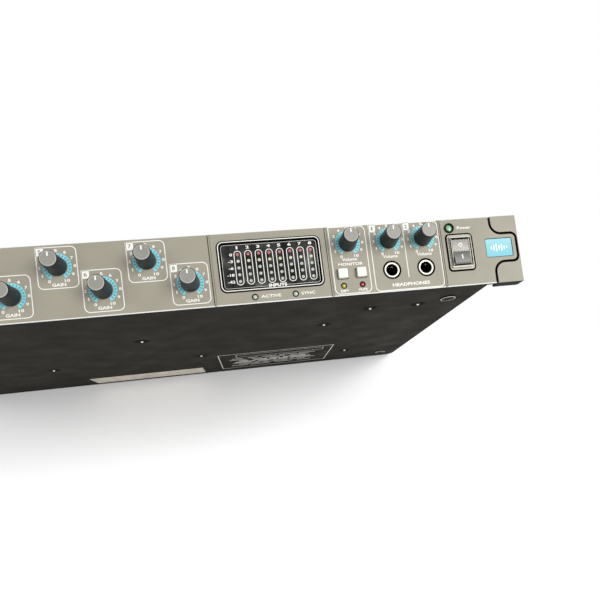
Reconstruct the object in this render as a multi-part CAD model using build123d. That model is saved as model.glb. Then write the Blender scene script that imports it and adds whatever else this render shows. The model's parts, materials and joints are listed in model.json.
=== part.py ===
from build123d import *
import os
from math import cos, radians, sin

os.makedirs("parts", exist_ok=True)

# One-unit 19 inch rack audio interface. Millimetres, x across the front, +Y to the rear, +Z up.
# The origin is on the standing surface, under the middle of the overall box.

# ---------------------------------------------------------------- driving dimensions
PANEL_WIDTH = 482.6  # 19 inch rack front
PANEL_HEIGHT = 44.0  # one rack unit
PANEL_THICK = 3.0
CASE_DEPTH = 260.0  # panel face to the rear wall's outer face
KNOB_REACH = 14.0  # knob fronts stand this far out of the panel
REAR_REACH = 9.0  # phono sockets stand this far out of the rear wall

FACE = KNOB_REACH - (CASE_DEPTH + KNOB_REACH + REAR_REACH) / 2
REAR = FACE + CASE_DEPTH
HALF_WIDTH = PANEL_WIDTH / 2
MID_HEIGHT = PANEL_HEIGHT / 2
PANEL_BACK = FACE + PANEL_THICK

CASE_HALF = 220.0  # half width of the tray
TRAY_SHEET = 1.2
TRAY_BOTTOM = 1.0
TRAY_TOP = 42.5
WALL_BACK = PANEL_BACK + TRAY_SHEET  # inner face of the tray's front wall
COVER_SHEET = 1.0
FLANGE_LOW = 32.0  # lower edge of the cover's side flanges
VENT_FIRST_X = 134.0
VENT_PITCH = 5.5
VENT_COUNT = 14
VENT_LENGTH = 24.0
VENT_WIDTH = 2.0
VENT_ROWS = (FACE + 90.0, FACE + 122.0)
TRAY_CORNER = 8.0
TRAY_BEND = 1.2

SEAM = 1.0  # dark gap between the panel and an end cap
NECK_HALF = 222.5  # panel half width above and below the side tabs
TAB_HALF = 239.4
TAB_LOW = 14.4
TAB_HIGH = 32.0
TAB_CORNER = 3.0
NECK_SWEEP = 7.5
EDGE_BEVEL = 0.5
END_CAP_DEPTH = 9.0
END_CAP_WALL = 1.2
END_CAP_CORNER = 1.4
EAR_THICK = 2.0
EAR_EDGE = 239.3
SLOT_SPACING_X = 465.1  # rack fixing slots
SLOT_SPACING_Z = 31.75
SLOT_LENGTH = 10.0
SLOT_RADIUS = 3.4

GAIN_X = (-140.9, -117.5, -91.7, -68.3, -42.5, -19.1, 6.7, 30.1)
GAIN_HIGH = 30.7
GAIN_LOW = 15.3
VOLUME_Z = 32.9
MONITOR_X = 127.4
PHONES_X = (153.7, 176.2)
PHONES_JACK_Z = 13.85

KNOB_GAP = 0.5
KNOB_BASE_R = 5.47
KNOB_TOP_R = 4.9
KNOB_CAP_R = 4.47
KNOB_CAP_DEPTH = 1.6
KNOB_CAP_EDGE = 0.3
SHAFT_R = 3.0
SHAFT_CLEARANCE = 0.05
BUSHING_R = 4.0
HOLE_PLAY = 0.1
POT_SIZE = 11.0
POT_FRONT = FACE + 6.0
POT_BACK = FACE + 14.0

BUTTON_SIZE = 6.0
BUTTON_HOLE = 6.8
BUTTON_REACH = 2.5
BUTTON_CORNER = 0.8
BUTTON_SHOULDER = FACE + 7.0
STEM_END = FACE + 12.0
PUSH_SWITCH_FRONT = FACE + 9.0
PUSH_SWITCH_HALF = 4.0
PUSH_SWITCH_POCKET = FACE + 13.6
STEM_SIZE = 2.4
STEM_CORNER = 0.2
MONITOR_BUTTONS = {"dim_button": (121.9, 13.6), "mute_button": (133.7, 13.6)}
PHANTOM_X = -158.5
PHANTOM_BUTTONS = {"phantom_button_1_4": (PHANTOM_X, 33.0), "phantom_button_5_8": (PHANTOM_X, 14.0)}
BUTTONS = {**MONITOR_BUTTONS, **PHANTOM_BUTTONS}

SWITCH_X = 200.5
SWITCH_Z = 21.8
SWITCH_WIDTH = 16.2
SWITCH_HEIGHT = 22.5
SWITCH_FLANGE = 0.6
SWITCH_REACH = 1.6  # raised inner frame, in front of the panel
SWITCH_STEP = 0.9  # width of the low step round the raised frame
SWITCH_BODY_WIDTH = 13.8
SWITCH_BODY_HEIGHT = 20.1
SWITCH_BODY_DEPTH = 20.0
ROCKER_MOUTH = (11.5, 16.8)
ROCKER_WELL = (11.5, 18.8)
ROCKER_WELL_DEPTH = 12.0
ROCKER_TILT = 7.0  # degrees each way from level
ROCKER_RADIUS = 8.3
ROCKER_WIDTH = 11.0
ROCKER_FRONT = 2.4  # level face in front of the pivot
ROCKER_BACK = 3.0
PIVOT_Y = FACE + 1.0
PIN_R = 1.2
PIN_LENGTH = ROCKER_WIDTH + 1.4

METER_X = 78.7
METER_Z = 23.35
METER_WIDTH = 63.2
METER_HEIGHT = 31.9
METER_CORNER = 4.0
BEZEL_WIDTH = 1.5
BEZEL_REACH = 0.6
WINDOW_GAP = 0.05
METER_LEDGE = 1.0  # how far the tray's wall reaches in behind the window
LED_COLUMNS = 8
LED_ROWS = 5
LED_FIRST_X = 59.3
LED_PITCH_X = 6.36
LED_TOP_Z = 30.7
LED_PITCH_Z = 4.16
LED_DOT_R = 0.95

POWER_LED = (194.9, 38.0)
POWER_LED_R = 2.3
HOLDER_R = 3.2
HOLDER_REACH = 0.9
HOLDER_STEP = 0.3
LAMP_REACH = 0.5
LAMP_BACK = FACE + 8.0
# x, z and lens radius of the small round lamps
LAMPS = (
    (66.8, 3.8, 1.4),
    (91.4, 3.8, 1.4),
    (121.8, 6.2, 1.3),
    (133.6, 6.2, 1.3),
    (PHANTOM_X, 25.6, 1.3),
    (PHANTOM_X, 6.6, 1.3),
    (-205.0, 4.4, 1.3),
    (-177.0, 4.4, 1.3),
)

BADGE_X = 227.45
BADGE_Z = 23.25
BADGE_WIDTH = 17.9
BADGE_HEIGHT = 11.7
BADGE_CORNER = 0.8
BADGE_GAP = 0.4
BADGE_BACK = FACE + 1.0

GROOVES_X = (43.3, 114.3, 188.3, -153.5)
GROOVE_WIDTH = 1.6
GROOVE_DEPTH = 0.4

JACK_BORE_R = 3.2
JACK_BORE_DEPTH = 26.8
JACK_BUSHING_R = 4.4
JACK_BLOCK = 13.0
JACK_SEAT = 1.4  # front of the block, just behind the sheet
JACK_BODY_DEPTH = 27.0
NUT_R = 5.05
NUT_THICK = 3.0
NUT_WELL_R = 5.98
OUTPUT_X = (59.0, 37.0, 15.0, -7.0, -29.0)
OUTPUT_Z = (31.5, 14.5)

COMBO_R = 11.8
COMBO_FLANGE_R = 12.6
COMBO_FLANGE = 0.8
COMBO_DEPTH = 24.0
COMBO_SEAT = 20.0  # bottom of the cup, where its core stands
COMBO_SLOT_R = (7.9, 9.5)  # inner and outer radius of the plug's ring slot
COMBO_CONTACT_R = 5.6
COMBO_HOLE_R = 1.4
FRONT_COMBO_X = (-205.0, -177.0)
REAR_COMBO_X = (-50.0, -78.0, -106.0, -134.0, -162.0, -190.0)

MIDI_X = (97.0, 77.0)
DIN_R = 8.5
DIN_CUP_R = 7.4
DIN_CORE_R = 6.3
DIN_SEAT = 9.0  # bottom of the cup, where the core stands
DIN_PIN_CIRCLE = 4.6
DIN_PIN_R = 0.8
COAX_COLLAR_R = 5.5
COAX_BARREL_R = 4.15
OPTICAL_SIZE = (11.0, 11.0, 1.0)  # width, height and corner
DATA_SIZE = (12.0, 11.0, 0.6)
INLET_BODY = (27.4, 20.0, 2.0)
COAX_X = 118.0
OPTICAL_X = 142.0
DATA_X = 161.0
PORT_Z = (31.0, 13.0)
INLET_X = 192.0

BOARD_THICK = 1.6
BOARD_Z = 6.0
BOARD_TOP = BOARD_Z + BOARD_THICK
FRONT_BOARD_Y = FACE + 16.0
FRONT_BOARD_X = (-162.5, 187.0)
FRONT_BOARD_SPAN = (4.0, 41.0)
JACK_NOTCH_X = (144.0, 190.0)
JACK_NOTCH_TOP = 22.0
RIBBON_X = (-60.0, -25.0)
RIBBON_THICK = 1.0
RIBBON_TOP = 25.0
RIBBON_DROP_Y = FACE + 80.0
MAIN_BOARD = (-206.0, 123.0, FACE + 72.0, REAR - 6.0)
CORE_Y = FACE + 60.0
COIL_Y = FACE + 76.0
CAN_Y = FACE + 120.0
CAN_R = 8.0
CANS_X = (150.0, 170.0, 190.0)
SINK_X = 140.0
SINK_Y = FACE + 150.0
SINK_BACK = 3.0
SINK_DEPTH = 15.0
SINK_FINS = 8
SINK_PITCH = 7.0
SINK_FIN = 2.0
POWER_BOARD = (128.0, 208.0, FACE + 34.0, FACE + 214.0)
# x and distance from the panel face, for the screws under the case
MAIN_SCREWS = (
    (118.4, 78.5),
    (-15.6, 78.5),
    (18.4, 156.5),
    (-150.0, 78.5),
    (-104.0, 156.5),
    (-196.0, 202.0),
)
POWER_SCREWS = ((146.7, 41.0), (181.8, 41.0), (155.3, 201.8))
SCREW_R = 1.25
SCREW_HEAD_R = 2.3
SCREW_HEAD = 1.2
CROSS_REACH = 1.3
CROSS_HALF = 0.3
SCREW_LENGTH = 5.0
STANDOFF_R = 3.0
PAN_HEAD_R = 2.8
PAN_HEAD = 1.8
SIDE_SCREWS_Y = (FACE + 40.0, FACE + 130.0, FACE + 225.0)
COVER_SCREW_Z = 37.0
EAR_SCREWS_Y = (FACE + 13.0, FACE + 25.0)
EAR_SCREW_Z = 18.0
EAR_SPAN = (1.4, 42.4)  # height of the ear plate
EAR_FLANGE = (6.0, 30.0)  # height of the flange along the case
EAR_FLANGE_END = FACE + 31.0
FOOT_R = 4.75
FEET = [(side * 200.5, FACE + along) for side in (-1, 1) for along in (30.5, 234.0)]


# ---------------------------------------------------------------- shape helpers
def slab(x0, x1, y0, y1, z0, z1):
    """A box between two corners."""
    return Pos((x0 + x1) / 2, (y0 + y1) / 2, (z0 + z1) / 2) * Box(x1 - x0, y1 - y0, z1 - z0)


def rod(x, z, radius, y0, y1):
    """A cylinder along Y."""
    return Pos(x, (y0 + y1) / 2, z) * Rot(90, 0, 0) * Cylinder(radius, y1 - y0)


def post(x, y, radius, z0, z1):
    """A cylinder along Z."""
    return Pos(x, y, (z0 + z1) / 2) * Cylinder(radius, z1 - z0)


def upright(outline, y0, y1):
    """A sketch of the front view, drawn with x and z, pushed from y0 back to y1."""
    return Pos(0, y1, 0) * Rot(90, 0, 0) * extrude(outline, y1 - y0)


def rounded(x, z, width, height, corner, y0, y1):
    """A rounded rectangle of the front view, pushed from y0 back to y1."""
    return upright(Pos(x, z) * RectangleRounded(width, height, corner), y0, y1)


def turned(x, z, points):
    """A solid turned about an axis along Y, from points of radius and y."""
    return Pos(x, 0, z) * revolve(make_face(Polyline(*points, close=True)), Axis.Y)


def group(solids):
    """Separate solids that share a node."""
    return Compound(children=list(solids))


def at_rear(x, z, shape):
    """Turns a front-facing socket to face the rear, on the rear wall."""
    return Pos(x, REAR, z) * Rot(0, 0, 180) * shape


def at_front(x, z, shape, y=FACE):
    return Pos(x, y, z) * shape


def gain_knob_places():
    return [(x, GAIN_LOW if number % 2 else GAIN_HIGH) for number, x in enumerate(GAIN_X)]


def knob_places():
    """Name of each knob and its place on the panel."""
    places = {f"gain_knob_{n + 1}": place for n, place in enumerate(gain_knob_places())}
    places["monitor_knob"] = (MONITOR_X, VOLUME_Z)
    for number, x in enumerate(PHONES_X):
        places[f"phones_knob_{number + 1}"] = (x, VOLUME_Z)
    return places


def meter_dots():
    """Centre of each meter lamp."""
    columns = [LED_FIRST_X + LED_PITCH_X * n for n in range(LED_COLUMNS)]
    rows = [LED_TOP_Z - LED_PITCH_Z * n for n in range(LED_ROWS)]
    return [(x, z) for x in columns for z in rows]


def grown(x, z, width, height, corner, y0, y1):
    """The hole for a rounded rectangle, with a little play all round."""
    return rounded(x, z, width + 2 * HOLE_PLAY, height + 2 * HOLE_PLAY, corner, y0, y1)


def front_rim(shape, y):
    """The edges of a shape that lie in the plane at y."""
    return [e for e in shape.edges() if abs(e.center().Y - y) < 0.01]


# ---------------------------------------------------------------- front
def face_outline(grow=0.0):
    """The panel's front view: a plate with a rounded tab at each end, grown by a margin."""
    neck = Pos(0, MID_HEIGHT) * Rectangle(2 * (NECK_HALF + grow), PANEL_HEIGHT)
    tab_mid = (TAB_LOW + TAB_HIGH) / 2
    tab_tall = TAB_HIGH - TAB_LOW + 2 * grow
    tab = Pos(0, tab_mid) * Rectangle(2 * (TAB_HALF + grow), tab_tall)
    outline = neck + tab
    outer = [v for v in outline.vertices() if abs(v.X) > TAB_HALF - 1]
    outline = fillet(outer, TAB_CORNER + grow)
    inner = [
        v
        for v in outline.vertices()
        if abs(abs(v.X) - NECK_HALF - grow) < 0.01 and 1 < v.Y < PANEL_HEIGHT - 1
    ]
    return fillet(inner, NECK_SWEEP - grow)


def panel_holes(y0, y1, well_r, socket_r):
    """Everything that passes through the panel and the tray's front wall."""
    holes = [rod(x, z, BUSHING_R + HOLE_PLAY, y0, y1) for x, z in knob_places().values()]
    holes += [rounded(x, z, BUTTON_HOLE, BUTTON_HOLE, 0.9, y0, y1) for x, z in BUTTONS.values()]
    holes += [rod(x, PHONES_JACK_Z, well_r, y0, y1) for x in PHONES_X]
    holes += [rod(x, MID_HEIGHT, socket_r, y0, y1) for x in FRONT_COMBO_X]
    holes += [rod(x, z, radius + 2 * HOLE_PLAY, y0, y1) for x, z, radius in LAMPS]
    holes.append(rod(*POWER_LED, HOLDER_R - HOLDER_STEP + HOLE_PLAY, y0, y1))
    holes.append(grown(SWITCH_X, SWITCH_Z, SWITCH_BODY_WIDTH, SWITCH_BODY_HEIGHT, 0.8, y0, y1))
    return holes


def front_panel():
    panel = upright(face_outline(), FACE, PANEL_BACK)
    rims = [
        e
        for e in panel.edges()
        if abs(e.center().Y - FACE) < 0.01
        and (e.center().Z < 0.01 or e.center().Z > PANEL_HEIGHT - 0.01)
    ]
    panel = chamfer(rims, EDGE_BEVEL)
    panel -= panel_holes(FACE - 1, PANEL_BACK + 1, NUT_WELL_R, COMBO_R + HOLE_PLAY)
    meter = (METER_X, METER_Z, METER_WIDTH, METER_HEIGHT, METER_CORNER)
    panel -= grown(*meter, FACE - 1, PANEL_BACK + 1)
    half = GROOVE_WIDTH / 2
    for x in GROOVES_X:
        panel -= slab(x - half, x + half, FACE - 1, FACE + GROOVE_DEPTH, -1, PANEL_HEIGHT + 1)
    width = BADGE_WIDTH + 2 * BADGE_GAP
    height = BADGE_HEIGHT + 2 * BADGE_GAP
    corner = BADGE_CORNER + BADGE_GAP
    return panel - rounded(BADGE_X, BADGE_Z, width, height, corner, FACE - 1, BADGE_BACK)


def corner_badge():
    badge = (BADGE_X, BADGE_Z, BADGE_WIDTH, BADGE_HEIGHT, BADGE_CORNER)
    return rounded(*badge, FACE + 0.2, BADGE_BACK)


def end_cap(side):
    """C-shaped moulding that hides a rack ear, open at the back."""
    low, high = sorted((side * (NECK_HALF + SEAM), side * HALF_WIDTH))
    block = slab(low, high, FACE, FACE + END_CAP_DEPTH, 0, PANEL_HEIGHT)
    outer = [
        e
        for e in block.edges().filter_by(Axis.Z)
        if e.center().Y > FACE + 1 and abs(e.center().X) > HALF_WIDTH - 1
    ]
    block = fillet(outer, END_CAP_CORNER)
    block -= upright(face_outline(SEAM), FACE - 1, PANEL_BACK)
    low, high = sorted((side * CASE_HALF, side * EAR_EDGE))
    inside = (END_CAP_WALL, PANEL_HEIGHT - END_CAP_WALL)
    return block - slab(low, high, PANEL_BACK, FACE + END_CAP_DEPTH + 1, *inside)


def rack_ears():
    ears = []
    for side in (-1, 1):
        low, high = sorted((side * (CASE_HALF + HOLE_PLAY), side * EAR_EDGE))
        plate = slab(low, high, PANEL_BACK, PANEL_BACK + EAR_THICK, *EAR_SPAN)
        for up in (-1, 1):
            z = MID_HEIGHT + up * SLOT_SPACING_Z / 2
            slot = Pos(side * SLOT_SPACING_X / 2, z) * SlotOverall(SLOT_LENGTH, 2 * SLOT_RADIUS)
            plate -= upright(slot, PANEL_BACK - 1, PANEL_BACK + EAR_THICK + 1)
        low, high = sorted((side * (CASE_HALF + HOLE_PLAY), side * (CASE_HALF + EAR_THICK)))
        flange = slab(low, high, PANEL_BACK + EAR_THICK, EAR_FLANGE_END, *EAR_FLANGE)
        ears.append(plate + flange - [side_hole(side, y, EAR_SCREW_Z) for y in EAR_SCREWS_Y])
    return group(ears)


def knob(x, z):
    """Rubber knob body, with the potentiometer shaft that it turns."""
    tip = FACE - KNOB_REACH
    base = FACE - KNOB_GAP
    shaft_tip = tip + 4
    body = turned(
        x,
        z,
        (
            (SHAFT_R, base),
            (KNOB_BASE_R, base),
            (KNOB_BASE_R, base - 1.0),
            (KNOB_TOP_R, tip + 0.7),
            (KNOB_TOP_R - 0.25, tip + KNOB_CAP_EDGE),
            (KNOB_CAP_R, tip + KNOB_CAP_EDGE),
            (KNOB_CAP_R, tip + KNOB_CAP_DEPTH),
            (0, tip + KNOB_CAP_DEPTH),
            (0, shaft_tip),
            (SHAFT_R, shaft_tip),
        ),
    )
    return group([body, rod(x, z, SHAFT_R, shaft_tip, POT_BACK - 1)])


def knob_cap(x, z):
    tip = FACE - KNOB_REACH
    return turned(
        x,
        z,
        (
            (0, tip),
            (KNOB_CAP_R - KNOB_CAP_EDGE, tip),
            (KNOB_CAP_R, tip + KNOB_CAP_EDGE),
            (KNOB_CAP_R, tip + KNOB_CAP_DEPTH),
            (0, tip + KNOB_CAP_DEPTH),
        ),
    )


def pot_bodies():
    """Potentiometer housings, each with its threaded bushing and the bore of its shaft."""
    bodies = []
    for x, z in knob_places().values():
        half = POT_SIZE / 2
        body = slab(x - half, x + half, POT_FRONT, POT_BACK, z - half, z + half)
        body += rod(x, z, BUSHING_R, FACE + 0.6, POT_FRONT)
        bodies.append(body - rod(x, z, SHAFT_R + SHAFT_CLEARANCE, FACE, POT_BACK - 0.8))
    return group(bodies)


def button(x, z):
    front = FACE - BUTTON_REACH
    cap = rounded(x, z, BUTTON_SIZE, BUTTON_SIZE, BUTTON_CORNER, front, BUTTON_SHOULDER)
    cap = fillet(front_rim(cap, front), 0.5)
    return cap + rounded(x, z, STEM_SIZE, STEM_SIZE, STEM_CORNER, BUTTON_SHOULDER, STEM_END)


def push_switches():
    """Switch housings behind the buttons."""
    switches = []
    half = PUSH_SWITCH_HALF
    for x, z in BUTTONS.values():
        body = slab(x - half, x + half, PUSH_SWITCH_FRONT, FRONT_BOARD_Y, z - half, z + half)
        stem = (x, z, STEM_SIZE, STEM_SIZE, STEM_CORNER)
        switches.append(body - grown(*stem, PUSH_SWITCH_FRONT - 1, PUSH_SWITCH_POCKET))
    return group(switches)


def switch_housing():
    """Power switch body: a stepped frame in front of the panel and a box behind it."""
    place = (SWITCH_X, SWITCH_Z)
    step = FACE - SWITCH_FLANGE
    front = FACE - SWITCH_REACH
    shape = rounded(*place, SWITCH_WIDTH, SWITCH_HEIGHT, 1.6, step, FACE)
    frame_size = (SWITCH_WIDTH - 2 * SWITCH_STEP, SWITCH_HEIGHT - 2 * SWITCH_STEP)
    frame = rounded(*place, *frame_size, 1.2, front, step)
    shape += fillet(front_rim(frame, front), 0.4)
    body_size = (SWITCH_BODY_WIDTH, SWITCH_BODY_HEIGHT)
    shape += rounded(*place, *body_size, 0.8, FACE, FACE + SWITCH_BODY_DEPTH)
    shape -= rounded(*place, *ROCKER_MOUTH, 0.4, front - 1, FACE)
    shape -= rounded(*place, *ROCKER_WELL, 0.4, FACE - 0.5, FACE + ROCKER_WELL_DEPTH)
    pivot = Pos(SWITCH_X, PIVOT_Y, SWITCH_Z) * Rot(0, 90, 0)
    return shape - pivot * Cylinder(PIN_R + SHAFT_CLEARANCE, PIN_LENGTH + 2 * HOLE_PLAY)


def power_rocker():
    """Two flats at a shallow angle, with ends turned about the pivot; at rest its top is in."""
    lean = sin(radians(ROCKER_TILT))
    end = ROCKER_RADIUS + 1
    profile = Polyline(
        (0, -ROCKER_FRONT),
        (end, -ROCKER_FRONT - end * lean),
        (end, ROCKER_BACK),
        (-end, ROCKER_BACK),
        (-end, -ROCKER_FRONT - end * lean),
        close=True,
    )
    # sketch x is up and sketch y is back, as seen along the pivot
    side_view = Plane(origin=(0, 0, 0), x_dir=(0, 0, 1), z_dir=(-1, 0, 0))
    wedge = side_view * extrude(make_face(profile), ROCKER_WIDTH / 2, both=True)
    drum = Rot(0, 90, 0) * Cylinder(ROCKER_RADIUS, ROCKER_WIDTH)
    pins = Rot(0, 90, 0) * Cylinder(PIN_R, PIN_LENGTH)
    rocker = (wedge & drum) + pins
    return Pos(SWITCH_X, PIVOT_Y, SWITCH_Z) * Rot(-ROCKER_TILT, 0, 0) * rocker


def meter_mouth(gap, y0, y1):
    """The meter's window, smaller than the bezel's opening by a gap all round."""
    margin = 2 * (BEZEL_WIDTH + gap)
    size = (METER_WIDTH - margin, METER_HEIGHT - margin)
    return rounded(METER_X, METER_Z, *size, METER_CORNER - BEZEL_WIDTH, y0, y1)


def meter_bezel():
    front = FACE - BEZEL_REACH
    outer = rounded(METER_X, METER_Z, METER_WIDTH, METER_HEIGHT, METER_CORNER, front, PANEL_BACK)
    outer = fillet(front_rim(outer, front), 0.4)
    return outer - meter_mouth(0.0, FACE - 1, PANEL_BACK + 1)


def meter_window():
    pane = meter_mouth(WINDOW_GAP, FACE + 0.4, PANEL_BACK)
    hole_r = LED_DOT_R + WINDOW_GAP
    return pane - [rod(x, z, hole_r, FACE - 1, PANEL_BACK + 1) for x, z in meter_dots()]


def meter_leds():
    return group([rod(x, z, LED_DOT_R, FACE + 0.3, LAMP_BACK) for x, z in meter_dots()])


def lamp(x, z, radius):
    """A round lamp with a domed lens."""
    dome_back = FACE + 0.3
    front = FACE - LAMP_REACH
    rise = dome_back - front
    ball_r = (radius**2 + rise**2) / (2 * rise)
    body = rod(x, z, radius, front - 1, LAMP_BACK)
    ball = Pos(x, front + ball_r, z) * Sphere(ball_r)
    return (body & ball) + rod(x, z, radius, dome_back, LAMP_BACK)


def indicator_leds():
    return group([lamp(*place) for place in LAMPS] + [lamp(*POWER_LED, POWER_LED_R)])


def power_led_holder():
    x, z = POWER_LED
    front = FACE - HOLDER_REACH
    shape = rod(x, z, HOLDER_R, front, FACE)
    shape = fillet(front_rim(shape, front), 0.3)
    shape += rod(x, z, HOLDER_R - HOLDER_STEP, FACE, WALL_BACK)
    return shape - rod(x, z, POWER_LED_R + 0.02, front - 1, WALL_BACK + 1)


# ---------------------------------------------------------------- sockets, drawn facing the front
def phone_jack():
    """6.35 mm jack; y = 0 is the outer face of the wall that it is fixed to."""
    half = JACK_BLOCK / 2
    mouth = 0.2 - NUT_THICK
    shape = slab(-half, half, JACK_SEAT, JACK_SEAT + JACK_BODY_DEPTH, -half, half)
    shape += rod(0, 0, JACK_BUSHING_R, mouth, JACK_SEAT)
    return shape - rod(0, 0, JACK_BORE_R, mouth - 1, mouth + JACK_BORE_DEPTH)


def jack_nut():
    ring = rod(0, 0, NUT_R, -NUT_THICK, 0)
    ring = fillet(front_rim(ring, -NUT_THICK), 0.3)
    return ring - rod(0, 0, JACK_BUSHING_R, -NUT_THICK - 1, 1)


def every_jack(shape):
    front = [at_front(x, PHONES_JACK_Z, shape, PANEL_BACK) for x in PHONES_X]
    return group(front + [at_rear(x, z, shape) for x in OUTPUT_X for z in OUTPUT_Z])


def combo_shell():
    """Outer cup of an XLR and jack combination socket."""
    flange = rod(0, 0, COMBO_FLANGE_R, -COMBO_FLANGE, 0)
    cup = rod(0, 0, COMBO_R, 0, COMBO_DEPTH) + fillet(front_rim(flange, -COMBO_FLANGE), 0.4)
    return cup - rod(0, 0, COMBO_SLOT_R[1], -2, COMBO_SEAT)


def combo_core():
    """Middle of the socket, with three contact holes round a centre bore."""
    core = rod(0, 0, COMBO_SLOT_R[0], -COMBO_FLANGE, COMBO_SEAT)
    core -= rod(0, 0, JACK_BORE_R, -2, COMBO_SEAT - 1)
    for angle in (-150, 90, -30):
        x = COMBO_CONTACT_R * cos(radians(angle))
        z = COMBO_CONTACT_R * sin(radians(angle))
        core -= rod(x, z, COMBO_HOLE_R, -2, COMBO_SEAT - 2)
    return core


def combo_sockets(place, places_x):
    """Both solids of each combination socket; place puts a shape on the front or the rear."""
    return group(
        place(x, MID_HEIGHT, shape) for x in places_x for shape in (combo_shell(), combo_core())
    )


def midi_sockets():
    """Five-pole round sockets, each a cup and the core that stands in it."""
    cup = slab(-9, 9, 1.2, 15, -9, 9) + rod(0, 0, DIN_R, -1, 1.2)
    cup -= rod(0, 0, DIN_CUP_R, -2, DIN_SEAT)
    core = rod(0, 0, DIN_CORE_R, -0.4, DIN_SEAT)
    for step in range(5):
        angle = radians(45 * step)
        x, z = DIN_PIN_CIRCLE * cos(angle), DIN_PIN_CIRCLE * sin(angle)
        core -= rod(x, z, DIN_PIN_R, -2, DIN_SEAT - 1)
    return group(at_rear(x, MID_HEIGHT, shape) for x in MIDI_X for shape in (cup, core))


def coax_sockets():
    """Phono sockets."""
    shape = slab(-5, 5, 1.2, 12, -5, 5) + rod(0, 0, COAX_COLLAR_R, -1, 1.2)
    shape += rod(0, 0, COAX_BARREL_R, -REAR_REACH, -1)
    shape -= rod(0, 0, 1.6, -REAR_REACH - 1, 4)
    return group([at_rear(COAX_X, z, shape) for z in PORT_Z])


def optical_ports():
    shape = rounded(0, 0, *OPTICAL_SIZE, -1.2, 12) - rounded(0, 0, 5.6, 5.6, 0.8, -2, 8)
    return group([at_rear(OPTICAL_X, z, shape) for z in PORT_Z])


def data_ports():
    """Square data sockets with a contact tongue."""
    shape = rounded(0, 0, *DATA_SIZE, -0.8, 15) - rounded(0, 0, 8.5, 7.8, 0.8, -2, 9)
    shape += slab(-2.8, 2.8, 0.6, 10, -1.6, 1.6)
    return group([at_rear(DATA_X, z, shape) for z in PORT_Z])


def mains_inlet():
    """Appliance inlet with three blades."""
    shape = rounded(0, 0, 30.5, 23, 2.5, -1.5, 0) + rounded(0, 0, *INLET_BODY, 0, 19)
    shape -= rounded(0, 0, 24.2, 16.4, 2, -2, 16)
    for x, z in ((0, 2), (-7, -2), (7, -2)):
        shape += slab(x - 1, x + 1, 1.0, 17, z - 2, z + 2)
    return at_rear(INLET_X, MID_HEIGHT, shape)


# ---------------------------------------------------------------- case
def screw():
    """Countersunk cross-head screw pointing up, its head flush with z = 0."""
    long, half = CROSS_REACH, CROSS_HALF
    cross = slab(-long, long, -half, half, -1, 0.6) + slab(-half, half, -long, long, -1, 0.6)
    return screw_hole() - cross


def screw_hole():
    """The space that a countersunk screw fills."""
    head = Pos(0, 0, SCREW_HEAD / 2) * Cone(SCREW_HEAD_R, SCREW_R, SCREW_HEAD)
    return head + post(0, 0, SCREW_R, SCREW_HEAD, SCREW_LENGTH)


def under(x, y, shape):
    """Places a screw shape in the floor of the tray."""
    return Pos(x, y, TRAY_BOTTOM) * shape


def from_side(side, x, y, z, shape):
    """Places a screw shape pointing inwards from a side face at a half width x."""
    return Pos(side * x, y, z) * Rot(0, -side * 90, 0) * shape


def side_hole(side, y, z):
    return from_side(side, CASE_HALF + EAR_THICK, y, z, screw_hole())


def cover_hole(side, y):
    return from_side(side, CASE_HALF + TRAY_SHEET, y, COVER_SCREW_Z, screw_hole())


def bottom_screw_places():
    return [(x, FACE + along) for x, along in MAIN_SCREWS + POWER_SCREWS]


def case_screws():
    screws = [under(x, y, screw()) for x, y in bottom_screw_places()]
    for side in (-1, 1):
        cover_x = CASE_HALF + TRAY_SHEET
        screws += [from_side(side, cover_x, y, COVER_SCREW_Z, screw()) for y in SIDE_SCREWS_Y]
        ear_x = CASE_HALF + EAR_THICK
        screws += [from_side(side, ear_x, y, EAR_SCREW_Z, screw()) for y in EAR_SCREWS_Y]
    return group(screws)


def rear_holes():
    y0 = REAR - TRAY_SHEET - 1
    y1 = REAR + 1
    holes = [rod(x, z, JACK_BUSHING_R + HOLE_PLAY, y0, y1) for x in OUTPUT_X for z in OUTPUT_Z]
    holes += [rod(x, MID_HEIGHT, COMBO_R + HOLE_PLAY, y0, y1) for x in REAR_COMBO_X]
    holes += [rod(x, MID_HEIGHT, DIN_R + HOLE_PLAY, y0, y1) for x in MIDI_X]
    holes += [rod(COAX_X, z, COAX_COLLAR_R + HOLE_PLAY, y0, y1) for z in PORT_Z]
    holes += [grown(OPTICAL_X, z, *OPTICAL_SIZE, y0, y1) for z in PORT_Z]
    holes += [grown(DATA_X, z, *DATA_SIZE, y0, y1) for z in PORT_Z]
    holes.append(grown(INLET_X, MID_HEIGHT, *INLET_BODY, y0, y1))
    return holes


def flat_parts(tray):
    """The tray as floor, front wall, rear wall and sides, each a solid, meeting face to face."""
    wide = CASE_HALF + 1
    floor_top = TRAY_BOTTOM + TRAY_SHEET
    top = TRAY_TOP + 1
    rear_wall = REAR - TRAY_SHEET
    regions = (
        slab(-wide, wide, WALL_BACK, REAR + 1, 0, floor_top),
        slab(-wide, wide, FACE, WALL_BACK, 0, top),
        slab(-wide, wide, rear_wall, REAR + 1, floor_top, top),
        slab(-wide, 0, WALL_BACK, rear_wall, floor_top, top),
        slab(0, wide, WALL_BACK, rear_wall, floor_top, top),
    )
    return group(tray & region for region in regions)


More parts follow.
